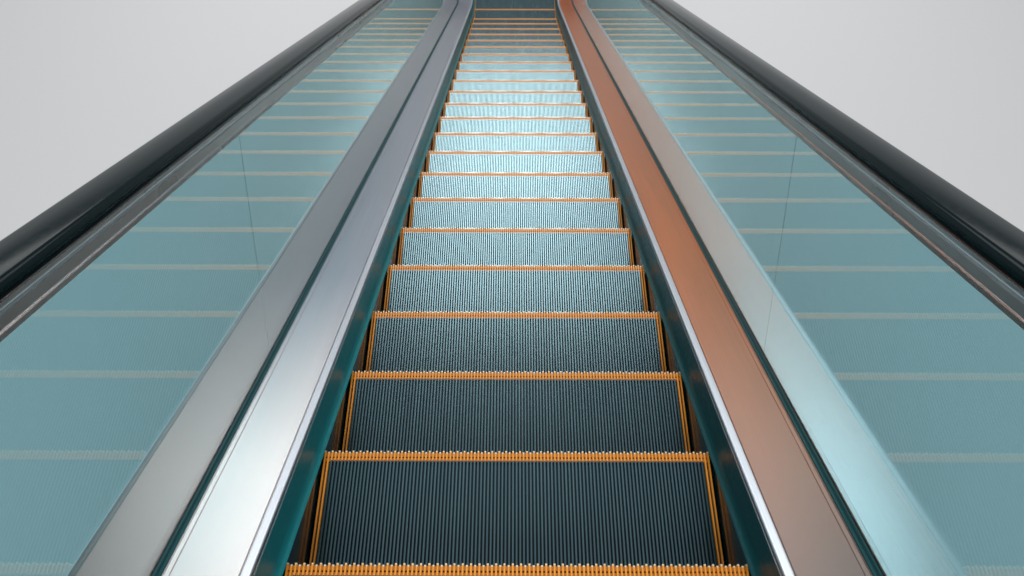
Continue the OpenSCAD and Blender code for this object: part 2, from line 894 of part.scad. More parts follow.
// Deck ends with the housings where the handrail goes in
module inlet(side) {
    deck_z = tread_level + deck_height;
    length = swing_end_y - newel_y;
    top = loop_bottom + guide_inset - 1 - deck_height;
    inner_half = inlet_half - inlet_wall;
    color("silver")
    mirrored_side(side) {
        difference() {
            translate([glass_x - inlet_half, newel_y + 3, deck_z])
                rotate([90, 0, 90])
                    linear_extrude(2 * inlet_half)
                        polygon([[0, 0], [length - 3, 0], [length - 3, seal_height],
                                 [length * 0.45, top], [0, top]]);
            translate([glass_x - inner_half, newel_y - 1, deck_z - 1])
                rotate([90, 0, 90])
                    linear_extrude(2 * inner_half)
                        polygon([[0, 0], [length - inlet_wall, 0],
                                 [length - inlet_wall, seal_height - inlet_wall],
                                 [length * 0.45, top - inlet_wall], [0, top - inlet_wall]]);
        }
        translate([trim_x + trim_foot + 1, lower_deck_end, finish_depth])
            cube([panel_x - trim_x - trim_foot - 1, inlet_wall,
                  deck_z - finish_depth - deck_thickness - edge_clearance]);
    }
}

module lower_inlets() {
    inlet("left");
    inlet("right");
}

module upper_inlets() {
    at_upper_landing() {
        inlet("left");
        inlet("right");
    }
}

// The outline across a cleated plate: cleats up to 0 on a plate down to bottom
function cleat_outline(half, pitch, height, bottom) =
    let (count = floor((half - cleat_width / 2) / pitch), side = cleat_width / 2)
    concat(
        [[-half, -height], [-half, bottom], [half, bottom], [half, -height]],
        [for (i = [count:-1:-count], corner = [[side, -height], [side, 0], [-side, 0],
                                               [-side, -height]])
            [i * pitch + corner[0], corner[1]]]
    );

// One step, from its nosing. The tread and the riser are cleated plates.
riser_start = 2.6;
module step() {
    tread_depth = step_pitch - step_gap;
    translate([0, tread_depth, 0])
        rotate([90, 0, 0])
            linear_extrude(tread_depth)
                polygon(cleat_outline(step_width / 2, cleat_pitch, cleat_height,
                                      -tread_thickness));
    translate([0, step_pitch, 0])
        rotate([riser_start - 90, 0, 0])
            rotate([0, 90, 0])
                rotate_extrude(angle = riser_sweep - riser_start) riser_profile();
    for (side = ["left", "right"])
        mirrored_side(side) step_frame();
}

// How much narrower the riser is than the tread, on each side
riser_inset = 1;
module riser_profile() {
    outline = cleat_outline(step_width / 2 - riser_inset, cleat_pitch * riser_cleat_share,
                            riser_cleat_height, -riser_thickness);
    polygon([for (p = outline) [step_pitch + p[1], p[0]]]);
}

// A side frame with its two rollers
frame_lap = 2;
frame_arc_steps = 5;
module step_frame() {
    front_radius = step_pitch - riser_thickness + frame_lap;
    rib_drop = 60;
    foot_half = 14;
    hub_half = 26;
    difference() {
        side_plate(frame_x, frame_thickness, concat(
            arc_points([step_pitch, 0], front_radius, 180 + riser_start, 178 + riser_sweep,
                       frame_arc_steps),
            [[trail_y - foot_half, trail_z - foot_half], [trail_y + foot_half, trail_z - foot_half],
             [axle_y - hub_half, axle_z - hub_half], [axle_y + hub_half, axle_z - hub_half],
             [step_pitch - step_gap - frame_lap, -tread_thickness / 2]]
        ));
        side_plate(frame_x - 1, frame_thickness + 2, [
            [rib_drop, -rib_drop], [axle_y - 3 * hub_half, -rib_drop],
            [trail_y + foot_half, trail_z + rib_drop], [trail_y - foot_half, trail_z + rib_drop]
        ]);
    }
    roller(axle_y, axle_z, roller_x);
    roller(trail_y, trail_z, trail_roller_x);
}

// A roller with its axle, from the side frame outwards
module roller(y, z, x_from) {
    translate([frame_x, y, z]) rotate([0, 90, 0])
        cylinder(d = axle_diameter, h = x_from - frame_x + roller_width);
    translate([x_from, y, z]) rotate([0, 90, 0])
        cylinder(d = roller_diameter, h = roller_width);
}

// The steps of one group, where their rollers stand over the floor
module step_group(group) {
    first = floor((group - 1) * step_count / step_groups);
    last = floor(group * step_count / step_groups) - 1;
    color("slategray")
    for (i = [first:last])
        placed_step(path_place(first_step + i * step_pitch));
}

module placed_step(place) {
    if (place[1] < riser_depth())
        above_floor() translate([0, place[0], place[1]]) step();
    else
        translate([0, place[0], place[1]]) step();
}

function riser_depth() = -trail_z + roller_diameter;

lower_bearing();
upper_bearing();
truss_left();
truss_right();
truss_cross_beams();
lower_landing_beams();
upper_landing_beams();
upper_end_plate();
track_left();
track_right();
side_panels_left();
side_panels_right();
soffit_panels();
lower_floor_plate();
upper_floor_plate();
lower_comb_plate();
upper_comb_plate();
skirt_left();
skirt_right();
edge_trim_left();
edge_trim_right();
inner_deck_left();
inner_deck_right();
outer_deck_left();
outer_deck_right();
balustrade_brackets_left();
balustrade_brackets_right();
glass_clamp_left();
glass_clamp_right();
glass_seal_left();
glass_seal_right();
glass_left();
glass_right();
handrail_guide_left();
handrail_guide_right();
handrail_left();
handrail_right();
lower_inlets();
upper_inlets();
for (group = [1:8])
    step_group(group);
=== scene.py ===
# %% [markdown]
# # An escalator, dressed for a close look
# The CAD model gives every plate, rail and step its size and its place. This lesson adds what
# a model of that kind leaves out: the cleats of the treads, the yellow safety lines, the
# brushed metal, the clear glass and the soft light. Everything is in metres, Y runs up the
# slope and Z is up.

import math

import bmesh
import bpy
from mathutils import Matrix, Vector


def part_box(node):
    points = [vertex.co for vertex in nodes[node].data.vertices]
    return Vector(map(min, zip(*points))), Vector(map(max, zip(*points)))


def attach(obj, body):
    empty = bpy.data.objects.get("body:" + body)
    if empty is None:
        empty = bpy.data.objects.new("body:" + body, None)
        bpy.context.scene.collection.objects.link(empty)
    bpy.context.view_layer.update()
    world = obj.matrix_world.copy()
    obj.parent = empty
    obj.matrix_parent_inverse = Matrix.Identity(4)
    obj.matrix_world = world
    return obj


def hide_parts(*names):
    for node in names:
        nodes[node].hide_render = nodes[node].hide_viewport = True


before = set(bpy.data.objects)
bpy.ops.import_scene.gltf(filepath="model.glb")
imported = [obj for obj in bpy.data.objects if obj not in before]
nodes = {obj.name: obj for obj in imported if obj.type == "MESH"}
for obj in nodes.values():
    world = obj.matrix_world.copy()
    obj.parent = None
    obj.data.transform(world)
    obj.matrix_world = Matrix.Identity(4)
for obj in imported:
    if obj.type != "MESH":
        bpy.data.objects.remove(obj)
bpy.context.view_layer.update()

# %% [markdown]
# The step band, the decks and the handrails all follow one side line: level, a bend, the
# slope, a bend, level. The same few sizes as in the CAD source describe it here, so that
# the pieces made below lie exactly where the CAD has them.

# %% Sizes of the travel
INCLINE = math.radians(30)
RISE = 5.0
TREAD_LEVEL = 0.134
LOWER_RADIUS = 1.2
UPPER_RADIUS = 1.5
LOWER_COMB_Y = 1.41
LEVEL_RUN = 0.8
LOWER_BEND_Y = LOWER_COMB_Y + LEVEL_RUN
LOWER_KINK_Y = LOWER_BEND_Y + LOWER_RADIUS * math.tan(INCLINE / 2)
UPPER_KINK_Y = LOWER_KINK_Y + RISE / math.tan(INCLINE)
UPPER_BEND_Y = UPPER_KINK_Y + UPPER_RADIUS * math.tan(INCLINE / 2)
UPPER_COMB_Y = UPPER_BEND_Y + LEVEL_RUN
SLOPE_LENGTH = RISE / math.sin(INCLINE) - (LOWER_RADIUS + UPPER_RADIUS) * math.tan(INCLINE / 2)
print("slope from", round(LOWER_BEND_Y, 3), "to", round(UPPER_BEND_Y, 3))

# %% [markdown]
# A line of straights and bends is easiest to say as a walk: so far ahead, then round a bend of
# one radius by one angle. Each station keeps its heading, so that a section can be set square
# to the line later, without any guess at a tangent.

# %% A walk along a line of straights and bends


def walk(y, z, moves, heading=0.0, bend_step=math.radians(3)):
    """Stations (y, z, heading) along moves: (length, 0) is straight, (radius, turn) a bend."""
    stations = [(y, z, heading)]
    for size, turn in moves:
        if turn == 0:
            y += size * math.cos(heading)
            z += size * math.sin(heading)
            stations.append((y, z, heading))
            continue
        side = math.copysign(1, turn)
        middle_y = y - side * size * math.sin(heading)
        middle_z = z + side * size * math.cos(heading)
        count = max(2, math.ceil(abs(turn) / bend_step))
        for i in range(1, count + 1):
            h = heading + turn * i / count
            y = middle_y + side * size * math.sin(h)
            z = middle_z - side * size * math.cos(h)
            stations.append((y, z, h))
        heading += turn
    return stations


def travel_moves(y_from, y_to):
    """The moves of the travel between two places on the level runs."""
    return [
        (LOWER_BEND_Y - y_from, 0),
        (LOWER_RADIUS, INCLINE),
        (SLOPE_LENGTH, 0),
        (UPPER_RADIUS, -INCLINE),
        (y_to - UPPER_BEND_Y, 0),
    ]


def travel(height, y_from, y_to):
    """Stations of a line at one height over the step path."""
    return walk(y_from, TREAD_LEVEL + height, travel_moves(y_from, y_to))


print("stations along the travel:", len(travel(0, 1, 12)))

# %% [markdown]
# The photograph looks down the slope from a place near the top. The steps shrink towards a
# point just over the picture, and that fixes the tilt of the camera and its focal length; the
# known pitch of the steps then fixes where it is.

# %% Set the camera
CAMERA_PLACE = (0.009, 10.977, 6.514)
CAMERA_TILT_DOWN = 55.35
CAMERA_TURN = 180.19
CAMERA_FOCUS_PIXELS = 828.2
PICTURE_WIDTH = 1024

camera_data = bpy.data.cameras.new("camera")
camera_data.sensor_width = 36
camera_data.lens = CAMERA_FOCUS_PIXELS / PICTURE_WIDTH * camera_data.sensor_width
camera_data.clip_start = 0.05
camera_data.clip_end = 400
camera = bpy.data.objects.new("camera", camera_data)
camera.location = CAMERA_PLACE
camera.rotation_euler = (math.radians(90 - CAMERA_TILT_DOWN), 0, math.radians(CAMERA_TURN))
bpy.context.scene.collection.objects.link(camera)
bpy.context.scene.camera = camera
print("lens:", round(camera_data.lens, 2), "mm")

# %% [markdown]
# ## Finishes
# Each finish is a small node tree. A node tree written in a script stays readable when one
# helper makes each node and wires its inputs, so that helper comes first. It serves the
# Geometry Nodes further down as well.

# %% Helpers for node trees


def put(tree, kind, inputs=None, **settings):
    """A node with its settings, and each input set to a value or wired to a socket."""
    made = tree.nodes.new(kind)
    for key, value in settings.items():
        setattr(made, key, value)
    for key, value in (inputs or {}).items():
        if isinstance(value, bpy.types.NodeSocket):
            tree.links.new(value, made.inputs[key])
        else:
            made.inputs[key].default_value = value
    return made


def math_of(tree, operation, *values):
    """One Math node on its values."""
    return put(tree, "ShaderNodeMath", dict(enumerate(values)), operation=operation).outputs[0]


print("node helpers ready")

# %% [markdown]
# Most finishes share the same few parts: a base shader, a noise that is stretched along the
# travel for brushed metal, a slight change of colour and a shallow bump. Nearly all of a noise
# lies between 0.3 and 0.7, so that is the span that the helpers stretch.

# %% Helpers for finishes
NOISE_LOW, NOISE_HIGH = 0.3, 0.7


def plain_finish(name, colour, metallic, roughness, **more):
    """A material whose constant values are set on the shader itself."""
    material = bpy.data.materials.new(name)
    material.use_nodes = True
    shader = material.node_tree.nodes["Principled BSDF"]
    shader.inputs["Base Color"].default_value = (*colour, 1)
    shader.inputs["Metallic"].default_value = metallic
    shader.inputs["Roughness"].default_value = roughness
    for socket, value in more.items():
        shader.inputs[socket.replace("_", " ")].default_value = value
    return material, shader


def grain(material, scale, detail):
    """A noise on object coordinates, stretched by a scale for each axis."""
    tree = material.node_tree
    place = put(tree, "ShaderNodeTexCoord").outputs["Object"]
    stretched = put(tree, "ShaderNodeMapping", {"Vector": place, "Scale": scale}).outputs["Vector"]
    return put(tree, "ShaderNodeTexNoise",
               {"Vector": stretched, "Scale": 1.0, "Detail": detail}).outputs["Fac"]


def spread(material, noise, socket, low, high):
    """Turns a noise into a value between low and high on a socket."""
    span = put(material.node_tree, "ShaderNodeMapRange", {
        "Value": noise, "From Min": NOISE_LOW, "From Max": NOISE_HIGH, "To Min": low, "To Max": high})
    material.node_tree.links.new(span.outputs["Result"], socket)


def tint(material, noise, shader, dark, light):
    """Lets the base colour wander between two colours."""
    ramp = put(material.node_tree, "ShaderNodeValToRGB", {"Fac": noise})
    ends = ramp.color_ramp.elements
    ends[0].position, ends[1].position = NOISE_LOW, NOISE_HIGH
    ends[0].color, ends[1].color = (*dark, 1), (*light, 1)
    material.node_tree.links.new(ramp.outputs["Color"], shader.inputs["Base Color"])


def emboss(material, noise, shader, strength, distance):
    """A bump from a noise, with a height in metres."""
    bump = put(material.node_tree, "ShaderNodeBump",
               {"Height": noise, "Strength": strength, "Distance": distance})
    material.node_tree.links.new(bump.outputs["Normal"], shader.inputs["Normal"])


def shade(colour, factor):
    """The same colour, darker or lighter."""
    return tuple(min(1.0, channel * factor) for channel in colour)


print("finish helpers ready")

# %% [markdown]
# Sheet steel on an escalator is ground along its length. The grind lines keep one place
# across the sheet for a long way, so the noise is fine in X and very long in Y and Z. It
# drives the roughness, a slight change of colour and a shallow bump.

# %% Brushed and cast metals


def brushed(name, colour, roughness, lines=(900, 1.2, 1.2), wander=0.12, metallic=1.0):
    """Metal with fine grind lines along the travel and a slow cloud of wear."""
    material, shader = plain_finish(name, colour, metallic, roughness)
    lines_noise = grain(material, lines, detail=4)
    spread(material, lines_noise, shader.inputs["Roughness"], roughness * 0.85, roughness * 1.2)
    tint(material, lines_noise, shader, shade(colour, 1 - wander), shade(colour, 1 + wander))
    emboss(material, lines_noise, shader, 0.12, 0.0002)
    return material


def cast_metal(name, colour, roughness, metallic=0.85, dimples=420):
    """Cast or milled aluminium with a fine, even dimple."""
    material, shader = plain_finish(name, colour, metallic, roughness)
    dimple = grain(material, (dimples, dimples, dimples), detail=2)
    spread(material, dimple, shader.inputs["Roughness"], roughness * 0.85, roughness * 1.15)
    tint(material, dimple, shader, shade(colour, 0.9), shade(colour, 1.1))
    emboss(material, dimple, shader, 0.15, 0.0003)
    return material


# The two inner decks are the same steel: their warm copper and cool tones are painted reflections.
cool_painted_reflection_deck = brushed("steel_cool_painted_reflection", (0.44, 0.43, 0.49), 0.34)
warm_painted_reflection_deck = brushed("steel_warm_painted_reflection", (0.65, 0.215, 0.095), 0.34)
# The outer decks are one steel too, in a lit copy and a shaded copy: painted light and painted shade.
outer_painted_light = brushed("outer_steel_painted_light", (0.88, 0.92, 0.97), 0.34)
outer_painted_shade = brushed("outer_steel_painted_shade", (0.32, 0.235, 0.215), 0.34)
edge_bright = brushed("edge_profile_bright", (0.46, 0.49, 0.54), 0.42)
rail_guide = brushed("rail_guide_aluminium", (0.66, 0.70, 0.72), 0.28)
cladding = brushed("cladding_satin", (0.62, 0.64, 0.66), 0.42, wander=0.06)
landing_plate = brushed("landing_plate_steel", (0.42, 0.43, 0.44), 0.5)
tread_top = brushed("tread_cleat_top", (0.135, 0.22, 0.25), 0.24, (700, 5, 5), 0.08, 0.85)
comb_metal = cast_metal("comb_aluminium", (0.55, 0.57, 0.58), 0.38)
step_casting = cast_metal("step_casting", (0.35, 0.37, 0.38), 0.5)
# The pale cream of the cleat tips is a painted highlight.
tip_painted_highlight = cast_metal("tip_painted_highlight", (0.86, 0.72, 0.52), 0.4, metallic=0.3)
screw_steel = cast_metal("screw_steel", (0.5, 0.51, 0.52), 0.35)
print("metals:", len(bpy.data.materials))

# %% [markdown]
# The two inner decks carry painted reflections that change along the slope. The warm deck has a
# copper tone, a painted reflection, in the middle of the slope that fades to a dull grey at the
# top. The fade is a slow mix along Y, on object coordinates, between the grind lines of the
# copper and a plain grey. The same mix makes the cool deck paler there, a painted highlight,
# and later deepens the glass, as painted shade.

# %% Fades of the inner decks


def fade_painted_light_along(material, colour, start, end):
    """Lets the base colour pass into another one between two places along Y, to paint light or shade."""
    tree = material.node_tree
    base = tree.nodes["Principled BSDF"].inputs["Base Color"]
    place = put(tree, "ShaderNodeTexCoord").outputs["Object"]
    along = put(tree, "ShaderNodeSeparateXYZ", {0: place}).outputs["Y"]
    share = put(tree, "ShaderNodeMapRange", {"Value": along, "From Min": start, "From Max": end})
    blend = put(tree, "ShaderNodeMix", {0: share.outputs["Result"]}, data_type="RGBA")
    first, second = [socket for socket in blend.inputs if socket.type == "RGBA"]
    first.default_value = base.default_value
    second.default_value = (*colour, 1)
    if base.is_linked:
        tree.links.new(base.links[0].from_socket, first)
    mixed = [socket for socket in blend.outputs if socket.type == "RGBA"]
    tree.links.new(mixed[0], base)


# Painted reflection and highlight: the copper fades to grey, and the cool deck turns paler towards the
# upper end.
fade_painted_light_along(warm_painted_reflection_deck, (0.235, 0.165, 0.15), 9.1, 10.6)
fade_painted_light_along(cool_painted_reflection_deck, (0.78, 0.64, 0.62), 9.35, 10.25)
print("both inner decks fade towards the upper end")

# %% [markdown]
# Painted steel, plastic and rubber have no grind lines. A fine orange-peel noise breaks the
# light on paint, and rubber gets a polish that comes and goes.

# %% Paint, plastic and rubber


def skin(name, colour, roughness, peel=180, depth=0.0001, **more):
    """Paint, plastic or rubber with a fine uneven surface."""
    material, shader = plain_finish(name, colour, 0.0, roughness, **more)
    peel_noise = grain(material, (peel, peel, peel), detail=2)
    spread(material, peel_noise, shader.inputs["Roughness"], roughness * 0.85, roughness * 1.2)
    tint(material, peel_noise, shader, shade(colour, 0.92), shade(colour, 1.08))
    emboss(material, peel_noise, shader, 0.2, depth)
    return material


# One teal cover paint in a lit copy and a shaded copy: painted light and painted shade.
cover_teal_painted_light = skin("cover_teal_painted_light", (0.008, 0.17, 0.19), 0.35, peel=60, Specular_IOR_Level=0.25)
cover_painted_shade = skin("cover_teal_painted_shade", (0.005, 0.055, 0.063), 0.35, peel=60, Specular_IOR_Level=0.25)
# The skirt under the covers is near black: painted shade where the covers shadow it.
skirt_painted_shade = skin("skirt_painted_shade", (0.003, 0.020, 0.026), 0.16, peel=60)
# The dark paint of the tread grooves; on the screw heads the same finish is painted shade in the sockets.
groove_paint_and_socket_shade = skin("groove_paint_and_socket_painted_shade", (0.003, 0.024, 0.031), 0.45, peel=300,
                    Specular_IOR_Level=0.2)
safety_yellow = skin("safety_yellow", (0.78, 0.30, 0.035), 0.33, peel=400)
# The darker yellow of the webs between the cleats is painted shade.
yellow_painted_shade = skin("yellow_painted_shade", (0.40, 0.135, 0.014), 0.45, peel=400)
rail_rubber = skin("handrail_rubber", (0.002, 0.009, 0.011), 0.13, peel=90, depth=0.00004,
                   Specular_IOR_Level=0.06)
gasket_rubber = skin("gasket_rubber", (0.006, 0.085, 0.095), 0.36, peel=240)
truss_paint = skin("truss_paint", (0.22, 0.23, 0.24), 0.55, peel=70)
track_zinc = cast_metal("track_zinc", (0.48, 0.49, 0.5), 0.45, dimples=60)
roller_tyre = skin("roller_tyre", (0.02, 0.02, 0.022), 0.5)
inlet_plastic = skin("inlet_plastic", (0.015, 0.017, 0.018), 0.4)
bristle_nylon = skin("bristle_nylon", (0.03, 0.031, 0.033), 0.55, peel=500)

# %% [markdown]
# Toughened glass is clear with a green cast, and hands leave it not quite clean. The cast is
# the shader's own colour, but its slow deepening towards the upper end is painted shade. A
# large soft noise lifts the roughness a little where the glass is smeared.

# %% Glass
glass, glass_shader = plain_finish(
    "balustrade_glass", (0.54, 0.77, 0.77), 0.0, 0.0, Transmission_Weight=1.0, IOR=1.5
)
smears = grain(glass, (3, 3, 3), detail=4)
spread(glass, smears, glass_shader.inputs["Roughness"], 0.0, 0.03)
# Painted shade: the green cast deepens towards the upper end.
fade_painted_light_along(glass, (0.33, 0.60, 0.65), 7.4, 10.2)
joint_seal = skin("joint_seal", (0.55, 0.62, 0.62), 0.3, peel=200, Transmission_Weight=0.7)

# %% [markdown]
# Every CAD node gets its finish here, also those that a finer piece stands for further down:
# most pieces come in a left and a right one, so a pair is named once.

# %% Dress the CAD nodes
FINISH_OF_NODE = {
    "lower_bearing": truss_paint, "upper_bearing": truss_paint,
    "truss_cross_beams": truss_paint, "lower_landing_beams": truss_paint,
    "upper_landing_beams": truss_paint, "upper_end_plate": truss_paint,
    "soffit_panels": cladding, "lower_floor_plate": landing_plate,
    "upper_floor_plate": landing_plate, "lower_comb_plate": comb_metal,
    "upper_comb_plate": comb_metal, "inner_deck_left": warm_painted_reflection_deck,
    "inner_deck_right": cool_painted_reflection_deck, "lower_inlets": inlet_plastic,
    "upper_inlets": inlet_plastic,
}
FINISH_OF_PAIR = {
    # The skirt node takes the near-black painted shade.
    "truss": truss_paint, "track": track_zinc, "side_panels": cladding, "skirt": skirt_painted_shade,
    "edge_trim": edge_bright, "outer_deck": outer_painted_light, "glass_clamp": comb_metal,
    "glass_seal": gasket_rubber, "glass": glass, "handrail_guide": rail_guide,
    "handrail": rail_rubber, "balustrade_brackets": comb_metal,
}
for name, finish in FINISH_OF_PAIR.items():
    FINISH_OF_NODE[name + "_left"] = finish
    FINISH_OF_NODE[name + "_right"] = finish
STEP_GROUPS = len([name for name in nodes if name.startswith("steps_")])
for group in range(STEP_GROUPS):
    FINISH_OF_NODE[f"steps_{group + 1}"] = step_casting
for name, node in nodes.items():
    node.data.materials.clear()
    node.data.materials.append(FINISH_OF_NODE[name])
print("dressed", len(nodes), "nodes")

# %% [markdown]
# ## Profiles that follow the slope
# Edge profiles, decks, seals, rail guides and handrails are extrusions and bent sheets: one
# section, carried along one line. Blender could do it with a curve and a bevel object, but a
# bevelled curve twists at a newel and its ends are hard to control. A few lines of mesh code
# put the section at every station of the walk, at right angles to it, and close the ends.

# %% Carry a section along stations


def sweep(section, stations, side, closed=False):
    """Points and faces of a section of (across, out) pairs at every station."""
    points = []
    for y, z, heading in stations:
        for across, out in section:
            points.append((side * across, y - out * math.sin(heading), z + out * math.cos(heading)))
    width = len(section)
    faces = []
    for i in range(len(stations) if closed else len(stations) - 1):
        here, there = i * width, (i + 1) % len(stations) * width
        for k in range(width):
            after = (k + 1) % width
            faces.append((here + k, here + after, there + after, there + k))
    if not closed:
        faces.append(tuple(range(width)))
        faces.append(tuple(reversed(range(len(points) - width, len(points)))))
    return points, faces


def link(name, data):
    """An object for a mesh or a lamp, in the scene."""
    made = bpy.data.objects.new(name, data)
    bpy.context.scene.collection.objects.link(made)
    return made


def mesh_of(name, shapes, finish, smooth_below=35):
    """One mesh from several lists of points and faces, facing outwards."""
    points, faces = [], []
    for more_points, more_faces in shapes:
        start = len(points)
        points += more_points
        faces += [tuple(start + corner for corner in face) for face in more_faces]
    mesh = bpy.data.meshes.new(name)
    mesh.from_pydata(points, [], faces)
    work = bmesh.new()
    work.from_mesh(mesh)
    bmesh.ops.recalc_face_normals(work, faces=work.faces)
    work.to_mesh(mesh)
    work.free()
    mesh.materials.append(finish)
    mesh.shade_smooth()
    mesh.set_sharp_from_angle(angle=math.radians(smooth_below))
    return mesh


def fit(piece, slot_name, *stands_for):
    """Lets a finished piece ride on the body and hides the nodes it stands for. The slot name is not used.
    """
    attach(piece, "root")
    if stands_for:
        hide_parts(*stands_for)
    return piece


def arc(middle, radii, start, end, steps):
    """Points on an elliptic arc, in degrees."""
    return [(middle[0] + radii[0] * math.cos(math.radians(start + (end - start) * i / steps)),
             middle[1] + radii[1] * math.sin(math.radians(start + (end - start) * i / steps)))
            for i in range(steps + 1)]


SIDES = {"left": -1, "right": 1}
print("helpers for profiles ready")

# %% [markdown]
# The widths come from the CAD boxes, so that nothing here can drift away from the frame. The
# decks stand 165 mm over the line of the nosings, measured straight up.

# %% Widths from the frame
SKIRT_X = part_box("skirt_right")[0][0]
DECK_FROM, DECK_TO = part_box("inner_deck_right")[0][0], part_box("inner_deck_right")[1][0]
OUTER_FROM, OUTER_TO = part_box("outer_deck_right")[0][0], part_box("outer_deck_right")[1][0]
GLASS_FROM, GLASS_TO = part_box("glass_right")[0][0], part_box("glass_right")[1][0]
GLASS_X = (GLASS_FROM + GLASS_TO) / 2
DECK_END, UPPER_DECK_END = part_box("inner_deck_right")[0][1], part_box("inner_deck_right")[1][1]
SEAL_END, UPPER_SEAL_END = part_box("glass_seal_right")[0][1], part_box("glass_seal_right")[1][1]
DECK_HEIGHT = 0.165
DECK_SHEET = 0.004
print("deck", round(DECK_FROM, 4), "to", round(DECK_TO, 4), "glass at", round(GLASS_X, 4))

# %% [markdown]
# The bright profile over the skirt is an aluminium extrusion with a flat top, a round nose and
# a shadow groove under it. It takes the pale band of light that runs down the whole slope, so
# its nose gets eight facets and smooth shading.

# %% Bright edge profile
TRIM_DROP = 0.0165
TRIM_JOINT = 0.003
trim_top = DECK_FROM - TRIM_JOINT
NOSE = 0.006
trim_section = (
    [(trim_top, -TRIM_DROP), (trim_top, -0.001), (trim_top - 0.001, 0)]
    + arc((SKIRT_X + NOSE, -0.0012 - NOSE), (NOSE, NOSE), 90, 180, 8)
    + [(SKIRT_X, -0.0118), (SKIRT_X + 0.0025, -0.0122), (SKIRT_X + 0.0025, -0.0142),
       (SKIRT_X, -0.0146), (SKIRT_X, -TRIM_DROP)]
)
trim_foot = [(trim_top, -DECK_SHEET - 0.0044), (DECK_FROM + 0.010, -DECK_SHEET - 0.0044),
             (DECK_FROM + 0.010, -DECK_SHEET - 0.0004), (trim_top, -DECK_SHEET - 0.0004)]
deck_line = travel(DECK_HEIGHT, DECK_END, UPPER_DECK_END)
for name, side in SIDES.items():
    shapes = [sweep(trim_section, deck_line, side), sweep(trim_foot, deck_line, side)]
    edge = link(f"edge_profile_{name}", mesh_of("edge_profile", shapes, edge_bright))
    fit(edge, "edge_trim", f"edge_trim_{name}")
print("edge profiles:", 2 * len(deck_line), "sections")

# %% [markdown]
# The upper part of the skirt is a painted cover whose foot leans out over the ends of the
# treads. It keeps shoes away from the gap, and under it the skirt lies in the dark; the skirt's
# own near-black colour there is painted shade. The foot is a quarter turn of a large radius
# with a small round nose. The two covers share one teal paint, as a lit copy on the right and a
# shaded copy on the left: painted light and shade.

# %% Skirt covers
COVER_NOSE = 0.014
COVER_FOOT = -0.124
cover_face = SKIRT_X - 0.0008
cover_rim = cover_face - COVER_NOSE
cover_section = (
    [(SKIRT_X, COVER_FOOT + 0.001), (SKIRT_X, -TRIM_DROP - 0.0005), (cover_face, -TRIM_DROP - 0.0005)]
    + arc((cover_rim, -0.088), (COVER_NOSE, 0.030), 0, -78, 9)[:-1]
    + [(cover_rim + 0.001, COVER_FOOT + 0.0055), (cover_rim, COVER_FOOT + 0.0035),
       (cover_rim + 0.0008, COVER_FOOT + 0.0012), (cover_rim + 0.003, COVER_FOOT)]
)
skirt_from, skirt_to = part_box("skirt_right")[0][1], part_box("skirt_right")[1][1]
cover_line = travel(DECK_HEIGHT, max(DECK_END, skirt_from), min(UPPER_DECK_END, skirt_to))
for name, side in SIDES.items():
    # The shaded copy goes on the left cover and the lit copy on the right one: painted shade and light.
    paint = cover_painted_shade if name == "left" else cover_teal_painted_light
    cover = link(f"skirt_cover_{name}",
                 mesh_of("skirt_cover", [sweep(cover_section, cover_line, side)], paint, 40))
    fit(cover, "skirt")
print("skirt covers from", round(cover_line[0][0], 3), "to", round(cover_line[-1][0], 3))

# %% [markdown]
# The decks are bent sheets. The inner one reaches over the seal with a thin flange that ends
# in a bead, and the outer one does the same and rolls over at its other edge. Where the
# handrail goes down through the deck, the sheets are cut back, so each deck is one long run
# and two narrower ends.

# %% Inner and outer decks
SLOT_HALF = 0.046
FLANGE = 0.010
BEAD = 0.003


def flange(edge, way):
    """A flange over the seal with a bead at its rim, from the edge of a deck one way across."""
    rim = edge + way * FLANGE
    return [(edge, 0.0003), (rim, 0.0003), (rim, 0.0030), (rim - way * 0.0008, 0.0036),
            (rim - way * (BEAD - 0.0008), 0.0036), (rim - way * BEAD, 0.0020),
            (edge - way * 0.002, 0.0018), (edge - way * 0.004, 0)]


def inner_deck_section(to):
    """The inner sheet from the edge profile to its outer edge."""
    rim = flange(DECK_TO, 1) if to == DECK_TO else [(to, -0.001), (to - 0.001, 0)]
    return ([(DECK_FROM, -DECK_SHEET), (to, -DECK_SHEET)] + rim
            + [(DECK_FROM + 0.0012, 0), (DECK_FROM, -0.0012)])


def outer_deck_section(start):
    """The outer sheet from the glass to its rolled edge."""
    roll = arc((OUTER_TO - 0.0035, -0.0035), (0.0035, 0.0035), 0, 90, 5)
    rim = flange(OUTER_FROM, -1)[::-1] if start == OUTER_FROM else [(start + 0.001, 0), (start, -0.001)]
    return [(start, -DECK_SHEET), (OUTER_TO, -DECK_SHEET)] + roll + rim


def deck_shapes(section, full, narrow, side):
    """The long run with the full sheet and the two ends with the cut one."""
    middle = travel(DECK_HEIGHT, SEAL_END, UPPER_SEAL_END)
    low = walk(DECK_END, TREAD_LEVEL + DECK_HEIGHT, [(SEAL_END - DECK_END, 0)])
    high = walk(UPPER_SEAL_END, TREAD_LEVEL + RISE + DECK_HEIGHT, [(UPPER_DECK_END - UPPER_SEAL_END, 0)])
    return [sweep(section(full), middle, side), sweep(section(narrow), low, side),
            sweep(section(narrow), high, side)]


